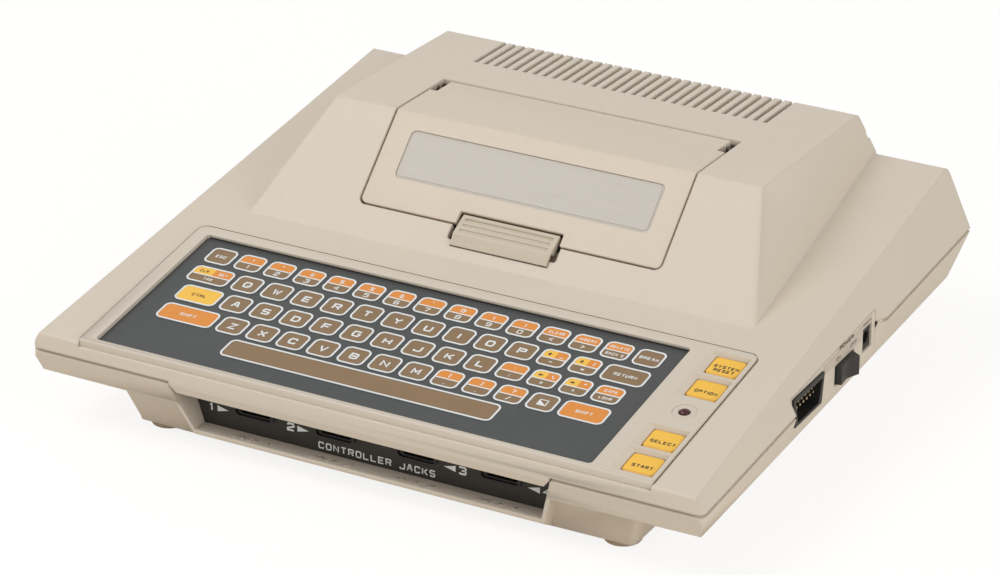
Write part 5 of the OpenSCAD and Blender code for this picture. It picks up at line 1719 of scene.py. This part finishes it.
# ---------------------------------------------------------------- studio
@dataclass
class Studio:
    """Camera, lights, world and floor."""

    camera_place: Place = (850.25, -1595.82, 909.19)
    camera_right: Place = (0.880357, 0.474304, 0.002735)
    camera_up: Place = (-0.206125, 0.377383, 0.902826)
    focal_length: float = 153.66
    shift: float = 0.00288
    sensor: float = 36.0
    clip_range: tuple[float, float] = (0.05, 50.0)
    floor_half: float = 3000.0
    lamps: tuple[tuple[str, Place, float, float], ...] = (
        ("key_light", (-1.3, -1.1, 2.4), 1.6, 35.5), ("right_light", (2.5, -0.7, 1.1), 1.8, 23.5))
    lamp_aim: Place = (0.0, 0.0, 0.05)
    world_strength: float = 0.43
    floor_dim: float = 0.8
    floor_glow: float = 0.86
    floor_mottle: tuple[float, ...] = (0.86, 0.84, 0.8, 1.0)
    mottle_share: float = 0.03

    def build(self) -> None:
        """Set the whole studio up."""
        self.camera()
        self.lights()
        self.world()
        self.floor()
        bpy.context.scene.view_settings.view_transform = "Standard"

    def camera(self) -> None:
        """A long lens that looks down on the machine from its right front corner."""
        data = bpy.data.cameras.new("camera")
        data.lens = self.focal_length
        data.sensor_width = self.sensor
        data.shift_x = self.shift
        data.clip_start, data.clip_end = self.clip_range
        camera = link("camera", data)
        right, up = Vector(self.camera_right), Vector(self.camera_up)
        camera.matrix_world = axes(Vector(self.camera_place) * MM, right, up, right.cross(up))
        bpy.context.scene.camera = camera

    def lights(self) -> None:
        """A big key light from the left and above, and a weaker one from the right."""
        for name, place, size, power in self.lamps:
            data = bpy.data.lights.new(name, "AREA")
            data.energy = power
            data.size = size
            lamp = link(name, data)
            lamp.location = place
            aim = Vector(self.lamp_aim) - Vector(place)
            lamp.rotation_euler = aim.to_track_quat("-Z", "Y").to_euler()

    def world(self) -> None:
        """An even pale surround, white where the camera and reflections look at it."""
        world = bpy.data.worlds.new("surround")
        world.use_nodes = True
        graph = Graph(world.node_tree)
        world.node_tree.nodes.clear()
        path = graph.node("LightPath")
        seen = graph.math("MAXIMUM", path.outputs["Is Camera Ray"],
                          graph.math("MAXIMUM", path.outputs["Is Glossy Ray"],
                                     path.outputs["Is Transmission Ray"]))
        lit = graph.node("Background", {"Color": WHITE, "Strength": self.world_strength})
        white = graph.node("Background", {"Color": WHITE, "Strength": 1.0})
        mixed = graph.node("MixShader", {0: seen, 1: lit.outputs[0], 2: white.outputs[0]})
        graph.node("OutputWorld", {"Surface": mixed.outputs[0]})
        bpy.context.scene.world = world

    def floor(self) -> None:
        """A wide pale floor that shows white apart from the machine's shadow."""
        mesh = bpy.data.meshes.new("floor")
        half = self.floor_half * MM
        mesh.from_pydata([(-half, -half, 0), (half, -half, 0), (half, half, 0), (-half, half, 0)],
                         [], [(0, 1, 2, 3)])
        material = bpy.data.materials.new("floor_paper")
        material.use_nodes = True
        graph = Graph(material.node_tree)
        material.node_tree.nodes.clear()
        mottle = graph.node("TexNoise", {"Vector": graph.place(), "Scale": 3.0})
        share = graph.math("MULTIPLY", mottle.outputs[0], self.mottle_share)
        toned = graph.mix(share, linear(Tint.FLOOR.value), self.floor_mottle)
        seen = graph.node("LightPath").outputs["Is Camera Ray"]
        dimmed = graph.mix(graph.math("MULTIPLY", seen, self.floor_dim), toned, BLACK)
        paper = graph.node("BsdfDiffuse", {"Color": dimmed})
        glow = graph.node("Emission", {"Color": WHITE, "Strength": graph.math(
            "MULTIPLY", seen, self.floor_glow)})
        both = graph.node("AddShader", {0: paper.outputs[0], 1: glow.outputs[0]})
        graph.node("OutputMaterial", {"Surface": both.outputs[0]})
        mesh.materials.append(material)
        link("floor", mesh)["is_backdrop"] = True


def corners() -> list[list[float]]:
    """The shown object's box as plain lists of numbers."""
    return [list(corner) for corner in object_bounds()]


def main() -> None:
    """Build the studio and every sub-assembly in order."""
    logging.basicConfig(level=logging.INFO, format="%(name)s: %(message)s")
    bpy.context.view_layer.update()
    Studio().build()
    paints = Paintbox(Effects())
    for part in (Mouldings(), MembraneKeyboard(), ConsoleKeys(), ControllerPanel(), SidePanel(),
                 Seams(), CartridgeContacts()):
        for piece in part.build(paints):
            LOG.info("%s is in place", piece.name)
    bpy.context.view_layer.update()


if __name__ == "__main__":
    main()
